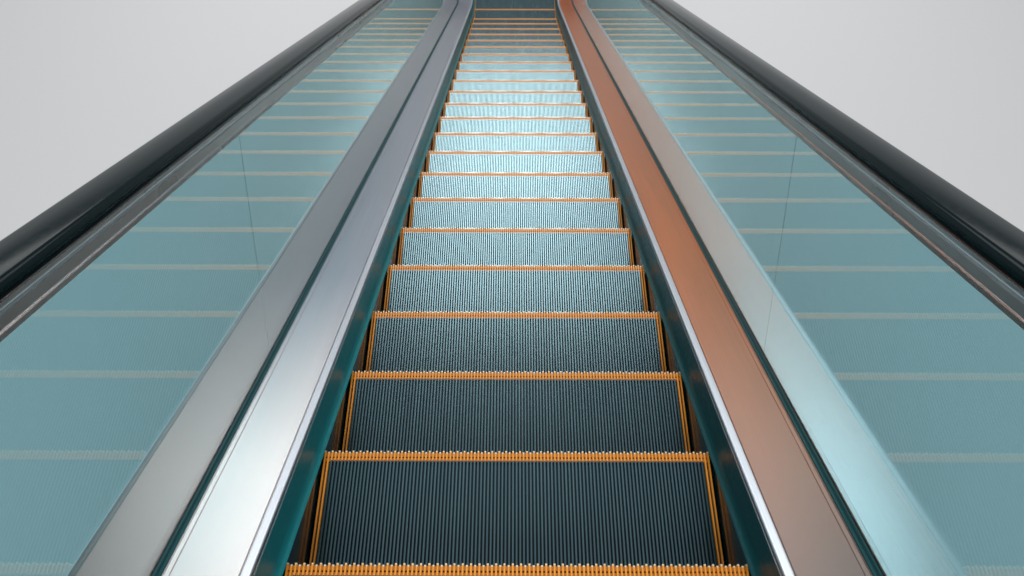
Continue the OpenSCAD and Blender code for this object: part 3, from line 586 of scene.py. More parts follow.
for name, side in SIDES.items():
    # Painted reflections: the warm copper tone goes on the left deck, the cool tone on the right.
    inner_finish = warm_painted_reflection_deck if name == "left" else cool_painted_reflection_deck
    shapes = deck_shapes(inner_deck_section, DECK_TO, GLASS_X - SLOT_HALF, side)
    inner = link(f"inner_deck_sheet_{name}", mesh_of("inner_deck_sheet", shapes, inner_finish))
    fit(inner, "warm_deck" if name == "left" else "cool_deck", f"inner_deck_{name}")
    shapes = deck_shapes(outer_deck_section, OUTER_FROM, GLASS_X + SLOT_HALF, side)
    # The left outer deck gets the lit copy and the right one the shaded copy: painted light and shade.
    outer_finish = outer_painted_light if name == "left" else outer_painted_shade
    outer = link(f"outer_deck_sheet_{name}", mesh_of("outer_deck_sheet", shapes, outer_finish))
    fit(outer, "outer_deck", f"outer_deck_{name}")
print("decks", round(DECK_TO - DECK_FROM, 3), "and", round(OUTER_TO - OUTER_FROM, 3), "m wide")

# %% [markdown]
# The seal beside the glass is a long rubber with a low foot under the flange of the deck and
# a wiping lip that leans on the glass. Two shallow ridges in its section catch a line of
# light each.

# %% Glass seals
RIDGES = 2
seal_foot = DECK_TO + FLANGE + 0.0002
seal_section = [(seal_foot, 0.0), (GLASS_FROM, 0.0), (GLASS_FROM, 0.019), (GLASS_FROM - 0.0012, 0.020),
                (GLASS_FROM - 0.0028, 0.018), (GLASS_FROM - 0.0034, 0.0075)]
for i in reversed(range(RIDGES)):
    start = seal_foot + 0.0004 + i * 0.003
    seal_section += [(start + 0.0026, 0.0068), (start + 0.002, 0.0076), (start + 0.0006, 0.0076),
                     (start, 0.0068)]
seal_section.append((seal_foot, 0.006))
seal_line = travel(DECK_HEIGHT, SEAL_END, UPPER_SEAL_END)
for name, side in SIDES.items():
    far_side = [(2 * GLASS_X - across, out) for across, out in seal_section]
    shapes = [sweep(seal_section, seal_line, side), sweep(far_side, seal_line, side)]
    seal = link(f"glass_gasket_{name}", mesh_of("glass_gasket", shapes, gasket_rubber, 25))
    fit(seal, "seal", f"glass_seal_{name}")
print("seal section:", len(seal_section), "points")

# %% [markdown]
# ## Handrails
# A handrail is a rubber loop: over the glass, round both newels and back under the decks. Its
# section is a flat C with a crowned top, which slides on the head of a metal guide. The loop
# is one walk, so the return run in the dark is the same piece as the part that hands hold.

# %% Handrail loops
HANDRAIL_HEIGHT = 1.010
RAIL_HALF = (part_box("handrail_right")[1][0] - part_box("handrail_right")[0][0]) / 2
RAIL_DEPTH = 0.036
RAIL_LEVEL = HANDRAIL_HEIGHT - RAIL_DEPTH / math.cos(INCLINE)
LOOP_RADIUS = 0.400 - RAIL_DEPTH
SWING_RADIUS = 0.350
RETURN_LEVEL = 0.025
INLET_RUN = 0.040
NEWEL_Y, UPPER_NEWEL_Y = DECK_END + 0.04, UPPER_DECK_END - 0.04
loop_drop = RAIL_LEVEL - 2 * LOOP_RADIUS - RETURN_LEVEL
swing_angle = math.acos(1 - loop_drop / 2 / SWING_RADIUS)
swing_run = 2 * SWING_RADIUS * math.sin(swing_angle)
swing_length = INLET_RUN + swing_run

loop_moves = travel_moves(NEWEL_Y, UPPER_NEWEL_Y) + [
    (LOOP_RADIUS, -math.pi), (INLET_RUN, 0), (SWING_RADIUS, swing_angle),
    (SWING_RADIUS, -swing_angle), (UPPER_NEWEL_Y - swing_length - UPPER_BEND_Y, 0),
    (UPPER_RADIUS, INCLINE), (SLOPE_LENGTH, 0), (LOWER_RADIUS, -INCLINE),
    (LOWER_BEND_Y - NEWEL_Y - swing_length, 0), (SWING_RADIUS, -swing_angle),
    (SWING_RADIUS, swing_angle), (INLET_RUN, 0), (LOOP_RADIUS, -math.pi)]
loop = walk(NEWEL_Y, TREAD_LEVEL + RAIL_LEVEL, loop_moves)
print("loop closes to", round(math.dist(loop[0][:2], loop[-1][:2]) * 1000, 3), "mm")

# %% [markdown]
# The lips of the C hold the handrail on its guide. The outline is drawn for one half: the lip,
# two round corners and the crown, which is a shallow parabola. The other half is its mirror.

# %% Handrail section and pieces
CROWN = 0.003
corner = 0.0155
right_half = (
    [(RAIL_HALF - 0.020, 0.009), (RAIL_HALF - 0.020, 0.0012), (RAIL_HALF - 0.0188, 0.0)]
    + arc((RAIL_HALF - corner, corner), (corner, corner), -80, 0, 6)
    + arc((RAIL_HALF - corner, RAIL_DEPTH - CROWN - corner), (corner, corner), 0, 78, 7)
    + [((RAIL_HALF - corner) * t, RAIL_DEPTH - CROWN * t * t) for t in (0.75, 0.5, 0.25)]
)
cavity = [(-RAIL_HALF + 0.012, 0.009), (-RAIL_HALF + 0.012, 0.0192), (RAIL_HALF - 0.012, 0.0192),
          (RAIL_HALF - 0.012, 0.009)]
rail_section = (right_half + [(0.0, RAIL_DEPTH)] + [(-a, n) for a, n in reversed(right_half)] + cavity)
rail_section = [(GLASS_X + across, out) for across, out in rail_section]
for name, side in SIDES.items():
    shapes = [sweep(rail_section, loop[:-1], side, closed=True)]
    rail = link(f"handrail_loop_{name}", mesh_of("handrail_loop", shapes, rail_rubber, 50))
    fit(rail, "handrail", f"handrail_{name}")
print("handrail section:", len(rail_section), "points at", len(loop) - 1, "stations")

# %% [markdown]
# The guide under the handrail is an extruded rail that grips the glass. Seen from above it is
# a light band with a dark groove under the rubber lips, and it runs right round the newels.

# %% Handrail guides
GUIDE_DROP = 0.060
body, neck, foot = RAIL_HALF - 0.021, RAIL_HALF - 0.027, GLASS_TO - GLASS_X + 0.006
guide_half = [(RAIL_HALF - 0.014, 0.0188), (RAIL_HALF - 0.014, 0.0125), (body, 0.012), (body, -0.014),
              (neck, -0.016), (neck, -0.021), (body, -0.023), (body, -0.040), (body - 0.002, -0.043),
              (foot + 0.001, -0.0505), (foot, -0.052), (foot, -GUIDE_DROP),
              (GLASS_TO - GLASS_X, -GUIDE_DROP), (GLASS_TO - GLASS_X, -GUIDE_DROP + 0.012)]
guide_section = [(GLASS_X + across, out) for across, out in guide_half]
guide_section += [(GLASS_X - across, out) for across, out in reversed(guide_half)]
guide_line = walk(NEWEL_Y, TREAD_LEVEL + RAIL_LEVEL - 2 * LOOP_RADIUS,
                  [(LOOP_RADIUS, -math.pi)] + travel_moves(NEWEL_Y, UPPER_NEWEL_Y)
                  + [(LOOP_RADIUS, -math.pi)], heading=-math.pi)
for name, side in SIDES.items():
    shapes = [sweep(guide_section, guide_line, side)]
    guide = link(f"rail_guide_{name}", mesh_of("rail_guide", shapes, rail_guide, 25))
    fit(guide, "guide", f"handrail_guide_{name}")
print("guides at", len(guide_line), "stations")

# %% [markdown]
# The glass is one tall sheet on each side, cut to the line of the handrail and round at the
# newels. Its panels meet in joints that are filled with clear sealant, so the eye takes the
# balustrade as one piece: it is one plate here, and the joints are thin strips on its outer
# face.

# %% Balustrade glass
GUIDE_INSET = GUIDE_DROP - 0.012
CLAMPED = 0.0546
PANEL_WIDTH = 1.3
JOINT_HALF = 0.001


def plate(outline, x_from, x_to):
    """A flat outline of (y, z) pairs, thick from one X to another."""
    count = len(outline)
    points = [(x, y, z) for x in (x_from, x_to) for y, z in outline]
    faces = [tuple(range(count)), tuple(reversed(range(count, 2 * count)))]
    faces += [(k, (k + 1) % count, (k + 1) % count + count, k + count) for k in range(count)]
    return points, faces


def off_line(stations, out):
    """The (y, z) pairs of a line at a distance out from its stations."""
    return [(y - out * math.sin(heading), z + out * math.cos(heading)) for y, z, heading in stations]


newel = LOOP_RADIUS - GUIDE_INSET
newel_z = TREAD_LEVEL + RAIL_LEVEL - LOOP_RADIUS
loop_bottom = RAIL_LEVEL - 2 * LOOP_RADIUS
swing_end, upper_swing_end = NEWEL_Y + swing_length, UPPER_NEWEL_Y - swing_length
glass_foot = travel(DECK_HEIGHT, swing_end, upper_swing_end)
glass_outline = (
    arc((NEWEL_Y, newel_z), (newel, newel), 270, 90, 24)
    + off_line(travel(RAIL_LEVEL, NEWEL_Y + 0.001, UPPER_NEWEL_Y - 0.001), -GUIDE_INSET - 0.0004)
    + arc((UPPER_NEWEL_Y, newel_z + RISE), (newel, newel), 90, -90, 24)
    + [(upper_swing_end, TREAD_LEVEL + RISE + loop_bottom + GUIDE_INSET)]
    + off_line(glass_foot, -CLAMPED)[::-1]
    + [(swing_end, TREAD_LEVEL + loop_bottom + GUIDE_INSET)]
)
print("glass outline:", len(glass_outline), "points")

# %% [markdown]
# A joint strip stands square to the slope, from just over the deck to just under the guide.

# %% Glass sheets and their joints
slope_y, slope_z = math.cos(INCLINE), math.sin(INCLINE)
strip_low = DECK_HEIGHT * slope_y + 0.022
strip_high = RAIL_LEVEL * slope_y - GUIDE_DROP - 0.002
strips = []
for i in range(int((SLOPE_LENGTH - PANEL_WIDTH / 2) / PANEL_WIDTH) + 1):
    along = LOWER_RADIUS * math.tan(INCLINE / 2) + (i + 0.3) * PANEL_WIDTH
    strip = []
    for way, out in ((-1, strip_low), (1, strip_low), (1, strip_high), (-1, strip_high)):
        edge = along + way * JOINT_HALF
        strip += off_line([(LOWER_KINK_Y + edge * slope_y, TREAD_LEVEL + edge * slope_z, INCLINE)], out)
    strips.append(strip)
for name, side in SIDES.items():
    sheet = mesh_of("glass_sheet", [plate(glass_outline, side * GLASS_FROM, side * GLASS_TO)], glass)
    fit(link(f"glass_sheet_{name}", sheet), "glass", f"glass_{name}")
    joints = [plate(strip, side * (GLASS_TO + 0.0001), side * (GLASS_TO + 0.0005)) for strip in strips]
    fit(link(f"glass_joints_{name}", mesh_of("glass_joints", joints, joint_seal)), "glass")
print("glass joints on a side:", len(strips))

# %% [markdown]
# ## The steps
# A step is a die-cast shell: a tread plate with 111 cleats, a curved riser with cleats of its
# own, two side frames and four rollers. Cleats repeat by the thousand, so Geometry Nodes make
# them. One tree builds a whole step from its sizes and puts it at every nosing of a group.
# The plain casting under the cleats is made once by mesh code and handed to the tree. Its
# faces carry the number of their finish, and those numbers are named here.

# %% Sizes of a step
PITCH = 0.400
STEP_HALF = 0.500
TREAD_DEPTH = PITCH - 0.004
CLEAT_PITCH = 0.009
CLEAT_WIDTH = 0.0041
CLEAT_HEIGHT = 0.011
CLEATS_TO_A_SIDE = int((STEP_HALF - CLEAT_WIDTH / 2) / CLEAT_PITCH)
PLATE_BOTTOM = -0.026
RISER_OUTER, RISER_INNER = PITCH - 0.005, PITCH - 0.009
RISER_SWEEP = math.radians(33)
AXLE = (PITCH - 0.050, PLATE_BOTTOM - 0.012 - 0.022)
TRAIL = (0.116, -0.240)
FRAME_X, FRAME_THICK = STEP_HALF - 0.060, 0.012
ROLLER_RADIUS, ROLLER_WIDTH = 0.038, 0.026
AXLE_RADIUS, HUB_RADIUS = 0.012, 0.022
MAIN, TOP, YELLOW, TYRE, GROOVE, TIP, WEB = range(7)
print("cleats on a tread:", 2 * CLEATS_TO_A_SIDE + 1)

# %% Mesh code for bars and rollers


def riser_arc(radius, start, end, steps):
    """Points on the riser's arc round the back of the step."""
    return [(PITCH - radius * math.cos(start + (end - start) * i / steps),
             -radius * math.sin(start + (end - start) * i / steps)) for i in range(steps + 1)]


def riser_bar(inner, outer, x_from, x_to, start, steps):
    """A bar of the riser between two radii."""
    outline = riser_arc(outer, start, RISER_SWEEP, steps)
    return plate(outline + riser_arc(inner, RISER_SWEEP, start, steps), x_from, x_to)


def disc(middle, radius, x_from, x_to, sides=24, bevel=0.003):
    """A round piece on an axis across the step, with bevelled rims."""
    points, faces = [], []
    rings = [(x_from, radius - bevel), (x_from + bevel, radius), (x_to - bevel, radius),
             (x_to, radius - bevel)]
    for x, size in rings:
        for k in range(sides):
            turn = 2 * math.pi * k / sides
            points.append((x, middle[0] + size * math.cos(turn), middle[1] + size * math.sin(turn)))
    for i in range(len(rings) - 1):
        for k in range(sides):
            faces.append((i * sides + k, i * sides + (k + 1) % sides,
                          (i + 1) * sides + (k + 1) % sides, (i + 1) * sides + k))
    faces.append(tuple(range(sides)))
    faces.append(tuple(reversed(range(len(points) - sides, len(points)))))
    return points, faces


print("a roller has", len(disc((0, 0), ROLLER_RADIUS, 0, ROLLER_WIDTH)[1]), "faces")

# %% [markdown]
# Two side frames carry the tread plate and the riser. Each is a plate with one window, and
# Blender fills the ring between the two outlines. It lists the triangles in another order each
# time, so they are sorted. The axle's rollers run outside the frames, and the trailing rollers
# hang below on their own pins.

# %% Side frames of a step
FOOT, SHOULDER = 0.014, 0.026
frame_outline = (
    riser_arc(RISER_INNER + 0.002, math.radians(3), RISER_SWEEP, 8)
    + [(TRAIL[0] - FOOT, TRAIL[1] - FOOT), (TRAIL[0] + FOOT, TRAIL[1] - FOOT),
       (AXLE[0] - SHOULDER, AXLE[1] - SHOULDER), (AXLE[0] + SHOULDER, AXLE[1] - SHOULDER),
       (TREAD_DEPTH - 0.002, -0.013)]
)
window = [(0.060, -0.060), (TRAIL[0] - FOOT, TRAIL[1] + 0.060), (TRAIL[0] + FOOT, TRAIL[1] + 0.060),
          (AXLE[0] - 3 * SHOULDER, -0.060)]


def framed_plate(outline, hole, x_from, x_to):
    """A plate with one hole: the ring between two outlines is filled by Blender."""
    work = bmesh.new()
    edges = []
    for ring in (outline, hole):
        corners = [work.verts.new((x_from, y, z)) for y, z in ring]
        edges += [work.edges.new((corners[k], corners[(k + 1) % len(corners)]))
                  for k in range(len(corners))]
    work.verts.index_update()
    bmesh.ops.triangle_fill(work, use_beauty=True, edges=edges)
    triangles = sorted(tuple(sorted(corner.index for corner in face.verts)) for face in work.faces)
    work.free()
    count = len(outline) + len(hole)
    points = [(x, y, z) for x in (x_from, x_to) for y, z in outline + hole]
    faces = triangles + [tuple(corner + count for corner in triangle) for triangle in triangles]
    for first, size in ((0, len(outline)), (len(outline), len(hole))):
        for k in range(size):
            here, after = first + k, first + (k + 1) % size
            faces.append((here, after, after + count, here + count))
    return points, faces


side_frames = [framed_plate(frame_outline, window, side * FRAME_X, side * (FRAME_X + FRAME_THICK))
               for side in SIDES.values()]
print("a side frame has", len(side_frames[0][1]), "faces")

# %% Plates, axles and rollers of a step
PLATE_FRONT = 0.005
WHEELS = ((AXLE, STEP_HALF + 0.030), (TRAIL, FRAME_X + FRAME_THICK + 0.002))
tread_outline = [(PLATE_FRONT, -CLEAT_HEIGHT), (TREAD_DEPTH, -CLEAT_HEIGHT),
                 (TREAD_DEPTH, PLATE_BOTTOM), (PLATE_FRONT, PLATE_BOTTOM)]
riser_half = STEP_HALF - 0.001
riser_plate = riser_bar(RISER_INNER, RISER_OUTER, -riser_half, riser_half, math.radians(1.7), 10)
casting_shapes = [(MAIN, plate(tread_outline, -STEP_HALF, STEP_HALF)), (GROOVE, riser_plate)]
for side in SIDES.values():
    for middle, wheel_x in WHEELS:
        axle = sorted((side * FRAME_X, side * (wheel_x + ROLLER_WIDTH)))
        casting_shapes.append((MAIN, disc(middle, AXLE_RADIUS, axle[0], axle[1], 16, 0.001)))
        tyre = sorted((side * wheel_x, side * (wheel_x + ROLLER_WIDTH)))
        casting_shapes.append((TYRE, disc(middle, ROLLER_RADIUS, tyre[0], tyre[1])))
        hub = sorted((side * (wheel_x - 0.001), side * (wheel_x + ROLLER_WIDTH + 0.0008)))
        casting_shapes.append((MAIN, disc(middle, HUB_RADIUS, hub[0], hub[1], 20, 0.002)))
casting_shapes += [(MAIN, side_frame) for side_frame in side_frames]
print("shapes in a casting:", len(casting_shapes))

# %% [markdown]
# The casting and one riser cleat become template objects. The top of the tread plate shows
# between the cleats, so that one face has the dark paint of the grooves. Among the faces of a
# plate its two ends come first and then its top, so the top of the first plate is number 2.

# %% Templates for the step tree


def add_finishes(mesh, shapes):
    """Writes the finish number of every shape on its faces."""
    numbers = [number for number, (_, faces) in shapes for _ in faces]
    layer = mesh.attributes.new("finish", "INT", "FACE")
    layer.data.foreach_set("value", numbers)


def template(name, shapes, finish):
    """An object that a tree repeats, with a finish number on every face."""
    mesh = mesh_of(name, [shape for _, shape in shapes], finish)
    add_finishes(mesh, shapes)
    return link(name + "_template", mesh)


TOP_OF_PLATE = 2
casting = template("casting", casting_shapes, step_casting)
casting.data.attributes["finish"].data[TOP_OF_PLATE].value = GROOVE
riser_cleat = template("riser_cleat", [(GROOVE, riser_bar(
    RISER_OUTER, PITCH, -CLEAT_WIDTH / 2, CLEAT_WIDTH / 2, math.radians(1.6), 6))], tread_top)
print("casting:", len(casting.data.polygons), "faces; riser cleat:", len(riser_cleat.data.polygons))

# %% [markdown]
# A geometry tree is made from named inputs. A piece with several finishes could be several
# objects, but it stays whole when every face carries the number of its finish: the last nodes
# of the tree turn the numbers into materials.

# %% Helpers for geometry trees


def new_tree(name, inputs):
    """A geometry tree with named inputs, and its group input node."""
    tree = bpy.data.node_groups.new(name, "GeometryNodeTree")
    tree.interface.new_socket("Geometry", in_out="INPUT", socket_type="NodeSocketGeometry")
    for label, kind in inputs:
        tree.interface.new_socket(label, in_out="INPUT", socket_type=f"NodeSocket{kind}")
    tree.interface.new_socket("Geometry", in_out="OUTPUT", socket_type="NodeSocketGeometry")
    return tree, tree.nodes.new("NodeGroupInput").outputs


def compare(tree, operation, first, second, **margin):
    """Compares two numbers. EQUAL also takes the difference that it allows."""
    return put(tree, "FunctionNodeCompare", {"A": first, "B": second, **margin},
               data_type="FLOAT", operation=operation).outputs[0]


def numbered(tree, geometry, number):
    """Stores a finish number on every face."""
    return put(tree, "GeometryNodeStoreNamedAttribute",
               {"Geometry": geometry, "Name": "finish", "Value": number},
               data_type="INT", domain="FACE").outputs[0]


def finish_tree(tree, geometry, finishes):
    """Realizes the instances, sets a material for every finish number and ends the tree."""
    geometry = put(tree, "GeometryNodeRealizeInstances", {"Geometry": geometry}).outputs[0]
    number = put(tree, "GeometryNodeInputNamedAttribute", {"Name": "finish"}, data_type="INT").outputs[0]
    for value, material in finishes.items():
        chosen = compare(tree, "EQUAL", number, float(value), Epsilon=0.1)
        geometry = put(tree, "GeometryNodeSetMaterial",
                       {"Geometry": geometry, "Selection": chosen, "Material": material}).outputs[0]
    put(tree, "NodeGroupOutput", {"Geometry": geometry})


print("tree helpers ready")

# %% [markdown]
# What repeats is a shape on points. The points are a row across the escalator, or the ones
# that the tree is given; the shape is a box, a template, or several parts gathered into one.
# Where the points carry a direction, the shape turns to face it.

# %% Helpers for shapes on points


def across(tree, x):
    """A vector that has a value along X only."""
    return put(tree, "ShaderNodeCombineXYZ", {0: x}).outputs[0]


def centred_row(tree, count, pitch):
    """A row of points across, with its middle at the origin."""
    first = math_of(tree, "MULTIPLY", math_of(tree, "SUBTRACT", count, 1.0),
                    math_of(tree, "MULTIPLY", pitch, -0.5))
    return put(tree, "GeometryNodeMeshLine", {
        "Count": count, "Start Location": across(tree, first), "Offset": across(tree, pitch),
    }).outputs[0]


def box_between(tree, width, y_from, y_to, z_from, z_to):
    """A cube node between two places along and up, centred across."""
    depth = math_of(tree, "SUBTRACT", y_to, y_from)
    height = math_of(tree, "SUBTRACT", z_to, z_from)
    size = put(tree, "ShaderNodeCombineXYZ", {0: width, 1: depth, 2: height}).outputs[0]
    middle = put(tree, "ShaderNodeCombineXYZ", {
        1: math_of(tree, "MULTIPLY_ADD", depth, 0.5, y_from),
        2: math_of(tree, "MULTIPLY_ADD", height, 0.5, z_from)}).outputs[0]
    cube = put(tree, "GeometryNodeMeshCube", {"Size": size}).outputs[0]
    return put(tree, "GeometryNodeTransform", {"Geometry": cube, "Translation": middle}).outputs[0]


def shape_of(tree, template_socket):
    """The mesh of a template object."""
    return put(tree, "GeometryNodeObjectInfo", {0: template_socket}).outputs["Geometry"]


def gather(tree, *parts):
    """Several parts as one instance."""
    joined = tree.nodes.new("GeometryNodeJoinGeometry")
    for part in reversed(parts):
        tree.links.new(part, joined.inputs[0])
    return put(tree, "GeometryNodeGeometryToInstance", {0: joined.outputs[0]}).outputs[0]


def stand_on(tree, points, shape, **choices):
    """A shape on every point. The choices select the points, or turn or scale the shape."""
    return put(tree, "GeometryNodeInstanceOnPoints",
               {"Points": points, "Instance": shape, **choices}).outputs[0]


def turn_to_facing(tree):
    """The turn that lets a shape face the direction that its point carries."""
    facing = put(tree, "GeometryNodeInputNamedAttribute", {"Name": "facing"},
                 data_type="FLOAT_VECTOR").outputs[0]
    return put(tree, "FunctionNodeAlignRotationToVector", {"Vector": facing}, axis="Z").outputs[0]


print("helpers for shapes on points ready")

# %% [markdown]
# A tree runs as a modifier on an object that is nothing but its points. The evaluated result
# is taken off as a plain mesh and the modifier goes, so that every piece ends as a finished
# mesh like the swept ones.

# %% Run a tree on its points


def grow(name, points, tree, inputs, facing=None):
    """Runs a tree on loose points with its inputs, and returns the result as a plain object."""
    mesh = bpy.data.meshes.new(name)
    mesh.from_pydata(points, [], [])
    if facing:
        way = mesh.attributes.new("facing", "FLOAT_VECTOR", "POINT")
        way.data.foreach_set("vector", [value for direction in facing for value in direction])
    piece = link(name, mesh)
    modifier = piece.modifiers.new("grow", "NODES")
    modifier.node_group = tree
    for label, value in inputs.items():
        modifier[tree.interface.items_tree[label].identifier] = value
    graph = bpy.context.evaluated_depsgraph_get()
    result = bpy.data.meshes.new_from_object(piece.evaluated_get(graph), depsgraph=graph)
    piece.modifiers.clear()
    piece.data = result
    return piece


print("ready to grow pieces")

# %% [markdown]
# The cleats start as one box each, sized by the named inputs. A row gives a point for every
# cleat, and the index of the point decides what stands on it: the two cleats next to each
# side are yellow, the others are metal on top and painted dark in the grooves.

# %% The row of cleats
step_tree, step_in = new_tree("step_band", [
    ("Casting", "Object"), ("Riser Cleat", "Object"), ("Cleats To A Side", "Int"),
    ("Cleat Pitch", "Float"), ("Cleat Width", "Float"), ("Cleat Height", "Float"),
    ("Tread Depth", "Float"), ("Nosing Depth", "Float"), ("Tip Length", "Float"),
    ("Yellow Cleat", "Float")])
to_a_side = step_in["Cleats To A Side"]
cleat_count = math_of(step_tree, "MULTIPLY_ADD", to_a_side, 2.0, 1.0)
row = centred_row(step_tree, cleat_count, step_in["Cleat Pitch"])
index = put(step_tree, "GeometryNodeInputIndex").outputs[0]
from_middle = math_of(step_tree, "ABSOLUTE", math_of(step_tree, "SUBTRACT", index, to_a_side))
from_end = math_of(step_tree, "SUBTRACT", to_a_side, from_middle)
is_yellow = compare(step_tree, "EQUAL", from_end, step_in["Yellow Cleat"], Epsilon=0.6)
is_dark = put(step_tree, "FunctionNodeBooleanMath", {0: is_yellow}, operation="NOT").outputs[0]
is_long = compare(step_tree, "LESS_THAN", math_of(step_tree, "MODULO", index, 2.0), 0.5)
is_short = put(step_tree, "FunctionNodeBooleanMath", {0: is_long}, operation="NOT").outputs[0]
print("row of cleats:", len(step_tree.nodes), "nodes so far")

# %% [markdown]
# The nosing is a yellow band over the front of all cleats. Their ends there are long and short
# in turn, and each tip is pale cream: a painted highlight where the tips catch the light. Two
# low webs cross the band between the cleats, in a darker yellow that is painted shade.

# %% Cleats, nosing and the whole step
cleat_width, cleat_height = step_in["Cleat Width"], step_in["Cleat Height"]
nosing, tip = step_in["Nosing Depth"], step_in["Tip Length"]
floor_z = math_of(step_tree, "MULTIPLY", cleat_height, -1.0)
up = put(step_tree, "ShaderNodeSeparateXYZ",
         {0: put(step_tree, "GeometryNodeInputNormal").outputs[0]}).outputs[2]
top_number = put(step_tree, "GeometryNodeSwitch", {
    "Switch": compare(step_tree, "GREATER_THAN", up, 0.9), "False": GROOVE, "True": TOP},
    input_type="INT").outputs[0]
tread_cleat = box_between(step_tree, cleat_width, nosing, step_in["Tread Depth"], floor_z, 0.0)
short_start = math_of(step_tree, "MULTIPLY", tip, 2.0)
kinds = [
    (tread_cleat, top_number, is_dark),
    (tread_cleat, YELLOW, is_yellow),
    (box_between(step_tree, cleat_width, tip, nosing, floor_z, 0.0), YELLOW, is_long),
    (box_between(step_tree, cleat_width, short_start, nosing, floor_z, 0.0), YELLOW, is_short),
    # The pale tips carry the painted highlight.
    (box_between(step_tree, cleat_width, 0.0, tip, floor_z, 0.0), TIP, is_long),
    (box_between(step_tree, cleat_width, tip, short_start, floor_z, 0.0), TIP, is_short),
]
parts = [stand_on(step_tree, row, numbered(step_tree, shape, number), Selection=chosen)
         for shape, number, chosen in kinds]
parts.append(stand_on(step_tree, row, shape_of(step_tree, step_in["Riser Cleat"])))
parts.append(shape_of(step_tree, step_in["Casting"]))
full_width = math_of(step_tree, "MULTIPLY", step_in["Cleat Pitch"],
                     math_of(step_tree, "SUBTRACT", cleat_count, 1.0))
web_top = math_of(step_tree, "MULTIPLY", cleat_height, -0.45)
# The webs sit low between the cleats, in the darker yellow of painted shade.
for start, end in ((0.16, 0.54), (0.70, 1.0)):
    web = box_between(step_tree, full_width, math_of(step_tree, "MULTIPLY", nosing, start),
                      math_of(step_tree, "MULTIPLY", nosing, end), floor_z, web_top)
    parts.append(numbered(step_tree, web, WEB))
band = stand_on(step_tree, step_in["Geometry"], gather(step_tree, *parts))
finish_tree(step_tree, band, {MAIN: step_casting, TOP: tread_top, YELLOW: safety_yellow,
                              TYRE: roller_tyre, GROOVE: groove_paint_and_socket_shade, TIP: tip_painted_highlight, WEB: yellow_painted_shade})
print("step tree:", len(step_tree.nodes), "nodes")

# %% [markdown]
# The nosings stand one pitch apart along the travel. A place on the path is worked out from
# its length along it: level, bend, slope, bend, level. Under the landings the lowest steps
# sink below the ground, and what lies under it is cut off, as in the CAD model.

# %% Nosings along the path
FIRST_STEP = -0.150


def path_place(length):
    """The (y, z) of a nosing at a length along the step path."""
    lengths = [LEVEL_RUN, LOWER_RADIUS * INCLINE, SLOPE_LENGTH, UPPER_RADIUS * INCLINE]
    if length <= lengths[0]:
        return LOWER_COMB_Y + length, TREAD_LEVEL
    length -= lengths[0]
    if length <= lengths[1]:
        turn = length / LOWER_RADIUS
        return (LOWER_BEND_Y + LOWER_RADIUS * math.sin(turn),
                TREAD_LEVEL + LOWER_RADIUS * (1 - math.cos(turn)))
    length -= lengths[1]
    if length <= lengths[2]:
        return (LOWER_BEND_Y + LOWER_RADIUS * math.sin(INCLINE) + length * math.cos(INCLINE),
                TREAD_LEVEL + LOWER_RADIUS * (1 - math.cos(INCLINE)) + length * math.sin(INCLINE))
    length -= lengths[2]
    if length <= lengths[3]:
        turn = INCLINE - length / UPPER_RADIUS
        return (UPPER_BEND_Y - UPPER_RADIUS * math.sin(turn),
                TREAD_LEVEL + RISE - UPPER_RADIUS * (1 - math.cos(turn)))
    return UPPER_BEND_Y + length - lengths[3], TREAD_LEVEL + RISE


path_length = 2 * LEVEL_RUN + (LOWER_RADIUS + UPPER_RADIUS) * INCLINE + SLOPE_LENGTH
step_count = int((path_length - FIRST_STEP - PITCH / 2) / PITCH) + 1
print("steps:", step_count)

# %% Grow the step groups
step_sizes = {
    "Casting": casting, "Riser Cleat": riser_cleat, "Cleats To A Side": CLEATS_TO_A_SIDE,
    "Cleat Pitch": CLEAT_PITCH, "Cleat Width": CLEAT_WIDTH, "Cleat Height": CLEAT_HEIGHT,
    "Tread Depth": TREAD_DEPTH, "Nosing Depth": 0.026, "Tip Length": 0.0035, "Yellow Cleat": 0.5}


def cut_at_ground(mesh):
    """Takes away what lies under the ground and closes the cuts."""
    work = bmesh.new()
    work.from_mesh(mesh)
    cut = bmesh.ops.bisect_plane(work, geom=work.verts[:] + work.edges[:] + work.faces[:],
                                 plane_co=(0, 0, 0), plane_no=(0, 0, 1), clear_inner=True)
    rims = [item for item in cut["geom_cut"] if isinstance(item, bmesh.types.BMEdge)]
    bmesh.ops.holes_fill(work, edges=rims)
    work.to_mesh(mesh)
    work.free()


for group in range(STEP_GROUPS):
    first = group * step_count // STEP_GROUPS
    last = (group + 1) * step_count // STEP_GROUPS
    places = [path_place(FIRST_STEP + i * PITCH) for i in range(first, last)]
    steps = grow(f"steps_band_{group + 1}", [(0, y, z) for y, z in places], step_tree, step_sizes)
    if min(corner.co.z for corner in steps.data.vertices) < 0:
        cut_at_ground(steps.data)
    steps.data.set_sharp_from_angle(angle=math.radians(40))
    fit(steps, "step", f"steps_{group + 1}")
    print(steps.name, len(steps.data.polygons), "faces")
for used_up in (casting, riser_cleat):
    bpy.data.objects.remove(used_up)

# %% [markdown]
# ## Landings
# The comb plate ends in a row of tapered teeth that run in the grooves of the treads. One tooth
# with the rib behind it is a short outline given a thickness, and a small tree sets it at half
# a cleat pitch from the cleats, all across the plate.

